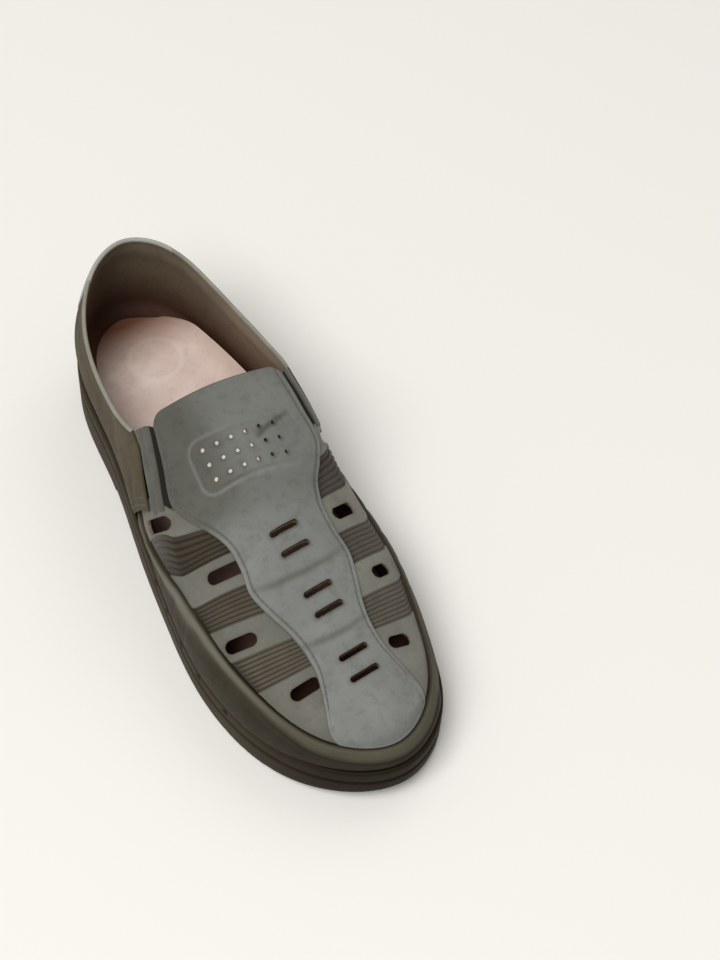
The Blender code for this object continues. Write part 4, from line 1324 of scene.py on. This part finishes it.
print("sole wall:", wall.shape[:2])

# %% Sole unit
rows = np.arange(len(profile))
# Painted shade: the wall's groove and its pits are darkened in the finish
dark = -0.15 * ((rows >= GROOVE_FIRST) & (rows <= GROOVE_LAST))[:, None]
dark = dark - 0.35 * np.concatenate([pitted, pitted[:, :1]], 1)


def plate(ring, count, raised):
    """Grid across a ring of points, from the lateral half to the medial half."""
    lateral = ring[:HALF + 1]
    medial = np.concatenate([ring[:1], ring[HALF:][::-1]])
    share = np.linspace(0, 1, count + 1)[None, :, None]
    sheet = lateral[:, None] * (1 - share) + medial[:, None] * share
    if raised:
        sheet[..., 2] = np.maximum(sheet[..., 2], tread_roof(sheet[..., 1]))
    return sheet


sole = grid_piece("sole_wall", wall[:, ::-1], dark[:, ::-1])
tread = grid_piece("sole_tread", plate(wall[0, :-1], 40, True)[:, ::-1])
bed_plate = grid_piece("sole_bed", plate(wall[-1, :-1], 6, False))
take(sole)
tread.select_set(True)
bed_plate.select_set(True)
bpy.ops.object.join()
sole.name = sole.data.name = "sole_rubber_unit"
edit(sole, WELD, FACE_OUT)
sole.data.materials.append(RUBBER)
smooth(sole, 45)
seat(sole, ("sole_unit",))

# %% [markdown]
# ## Stitching
# One stitch is a small sphere stretched along its thread. Stitches could be a bump, but they stand up
# from the leather and each one catches light. An Array modifier repeats the stitch along a seam's length
# and a Curve modifier bends the row along the seam, which is how a row of stitches is laid by hand.

# %% A row of stitches
STITCH_PITCH, STITCH_LENGTH, STITCH_RADIUS = 3.0 * MM, 2.3 * MM, 0.26 * MM
print("stitches for each 100 mm:", round(100 * MM / STITCH_PITCH))


def stitch_row(name, points):
    """A row of stitches along the points."""
    path = bpy.data.curves.new(name + "_path", "CURVE")
    path.dimensions = "3D"
    line = path.splines.new("POLY")
    line.points.add(len(points) - 1)
    write(line.points, "co", np.column_stack([points, np.ones(len(points))]))
    guide = bpy.data.objects.new(name + "_path", path)
    bpy.context.scene.collection.objects.link(guide)
    deselect()
    bpy.ops.mesh.primitive_uv_sphere_add(segments=7, ring_count=6, radius=1.0,
                                         location=(STITCH_LENGTH / 2, 0, 0), rotation=(0, math.pi / 2, 0))
    stitch = bpy.context.object
    stitch.name = stitch.data.name = name
    stitch.scale = (STITCH_RADIUS, STITCH_RADIUS, STITCH_LENGTH / 2)
    bpy.ops.object.transform_apply(location=True, rotation=True, scale=True)
    modify(stitch, "ARRAY", fit_type="FIT_CURVE", curve=guide, use_relative_offset=False,
           use_constant_offset=True, constant_offset_displace=(STITCH_PITCH, 0, 0))
    modify(stitch, "CURVE", object=guide, deform_axis="POS_X")
    bpy.data.objects.remove(guide)
    return stitch


def stitching(name, lines):
    """All rows of one seam as a single piece."""
    rows = [stitch_row("%s_%d" % (name, i), points) for i, points in enumerate(lines)]
    take(rows[0])
    for other in rows[1:]:
        other.select_set(True)
    if len(rows) > 1:
        bpy.ops.object.join()
    piece = bpy.context.object
    piece.name = piece.data.name = name
    piece.data.materials.append(THREAD)
    bpy.ops.object.shade_smooth()
    return seat(piece)


# %% Seams
def seam_line(station, rise, lift):
    """Points of a seam on the last, in metres."""
    return to_frame(form(station, rise) + outward(station, rise) * np.reshape(lift, (-1, 1)))


def under_edge(stations, top, drop, lift):
    """Seam that runs a drop in millimetres under an edge."""
    return seam_line(stations, top - drop / rise_speed(stations, top), lift)


apron = even_stations(7.1, LOOP - 7.1, 240)
stitching("apron_stitching", [under_edge(apron, seam_rise(apron), APRON_DROP, lift=1.1)])
beside_plug = np.linspace(3.92, 7.8, 240)
stitching("plug_stitching", [under_edge(beside_plug * side % LOOP, plug_rise(beside_plug), -2.6, lift=1.62)
                             for side in (1, -1)])
lap_lines = []
for side, shift in SIDES.values():
    for offset in (0.06, 0.13):      # two rows behind the front edge of the quarter
        rise = np.linspace(0.09, 0.29, 60)
        station = LAP[0] + shift + LAP[1] * rise - offset
        lift = 1.25 + 0.5 * side + overhang(station, rise)
        lap_lines.append(seam_line(station * side % LOOP, rise, lift))
stitching("lap_stitching", lap_lines)

# %% [markdown]
# ## Stage, light and camera
# The shoe stands on a plain pale floor under wide soft lights, as in a product picture. A lit backdrop
# could do the same, but one floor and two area lamps look alike from every side. The camera has the
# photograph's angle, distance and slight tilt, found by matching the shoe's outline.

# %% Floor
deselect()
bpy.ops.mesh.primitive_plane_add(size=8.0)
floor_piece = bpy.context.object
floor_piece.name = "floor"
floor_piece.data.materials.append(PAPER)
print("floor:", list(floor_piece.dimensions), "m")

# %% Lights
world = bpy.data.worlds.new("soft_room")
world.use_nodes = True
world.node_tree.nodes["Background"].inputs["Color"].default_value = linear("#f6f3ee")
world.node_tree.nodes["Background"].inputs["Strength"].default_value = 0.32
bpy.context.scene.world = world
# Lamp: place, aim, power in watts, size in metres
LAMPS = {"key": ((-1.6, -0.8, 3.2), (0, 0, 0), 102.0, 2.2),
         "fill": ((2.0, 1.2, 3.2), (0, 0, 0), 16.0, 2.4)}
for lamp_name, (where, aim, power, size) in LAMPS.items():
    bpy.ops.object.light_add(type="AREA", location=where)
    lamp = bpy.context.object
    lamp.name = lamp_name
    lamp.data.energy, lamp.data.size = power, size
    lamp.rotation_mode = "QUATERNION"
    lamp.rotation_quaternion = (Vector(aim) - Vector(where)).to_track_quat("-Z", "Y")
    print("lamp:", lamp_name, power, "W,", size, "m wide")

# %% Camera
AZIMUTH, ELEVATION, ROLL = (math.radians(a) for a in (-32.305, 54.307, 3.993))
DISTANCE, LENS, SENSOR = 0.9166, 73.467, 36.0
AIM = Vector((0.05438, -0.01376, 0.04252))
back = Vector((math.sin(AZIMUTH) * math.cos(ELEVATION), -math.cos(AZIMUTH) * math.cos(ELEVATION),
               math.sin(ELEVATION)))
level = Vector((math.cos(AZIMUTH), math.sin(AZIMUTH), 0))
upright = back.cross(level)
right = level * math.cos(ROLL) + upright * math.sin(ROLL)
above = upright * math.cos(ROLL) - level * math.sin(ROLL)
bpy.ops.object.camera_add()
camera = bpy.context.object
camera.data.lens, camera.data.sensor_width = LENS, SENSOR
turned = Matrix((right, above, back)).transposed().to_4x4()
camera.matrix_world = Matrix.Translation(AIM + back * DISTANCE) @ turned
bpy.context.scene.camera = camera
bpy.context.scene.view_settings.view_transform = "Standard"
print("camera:", LENS, "mm lens,", DISTANCE, "m away")
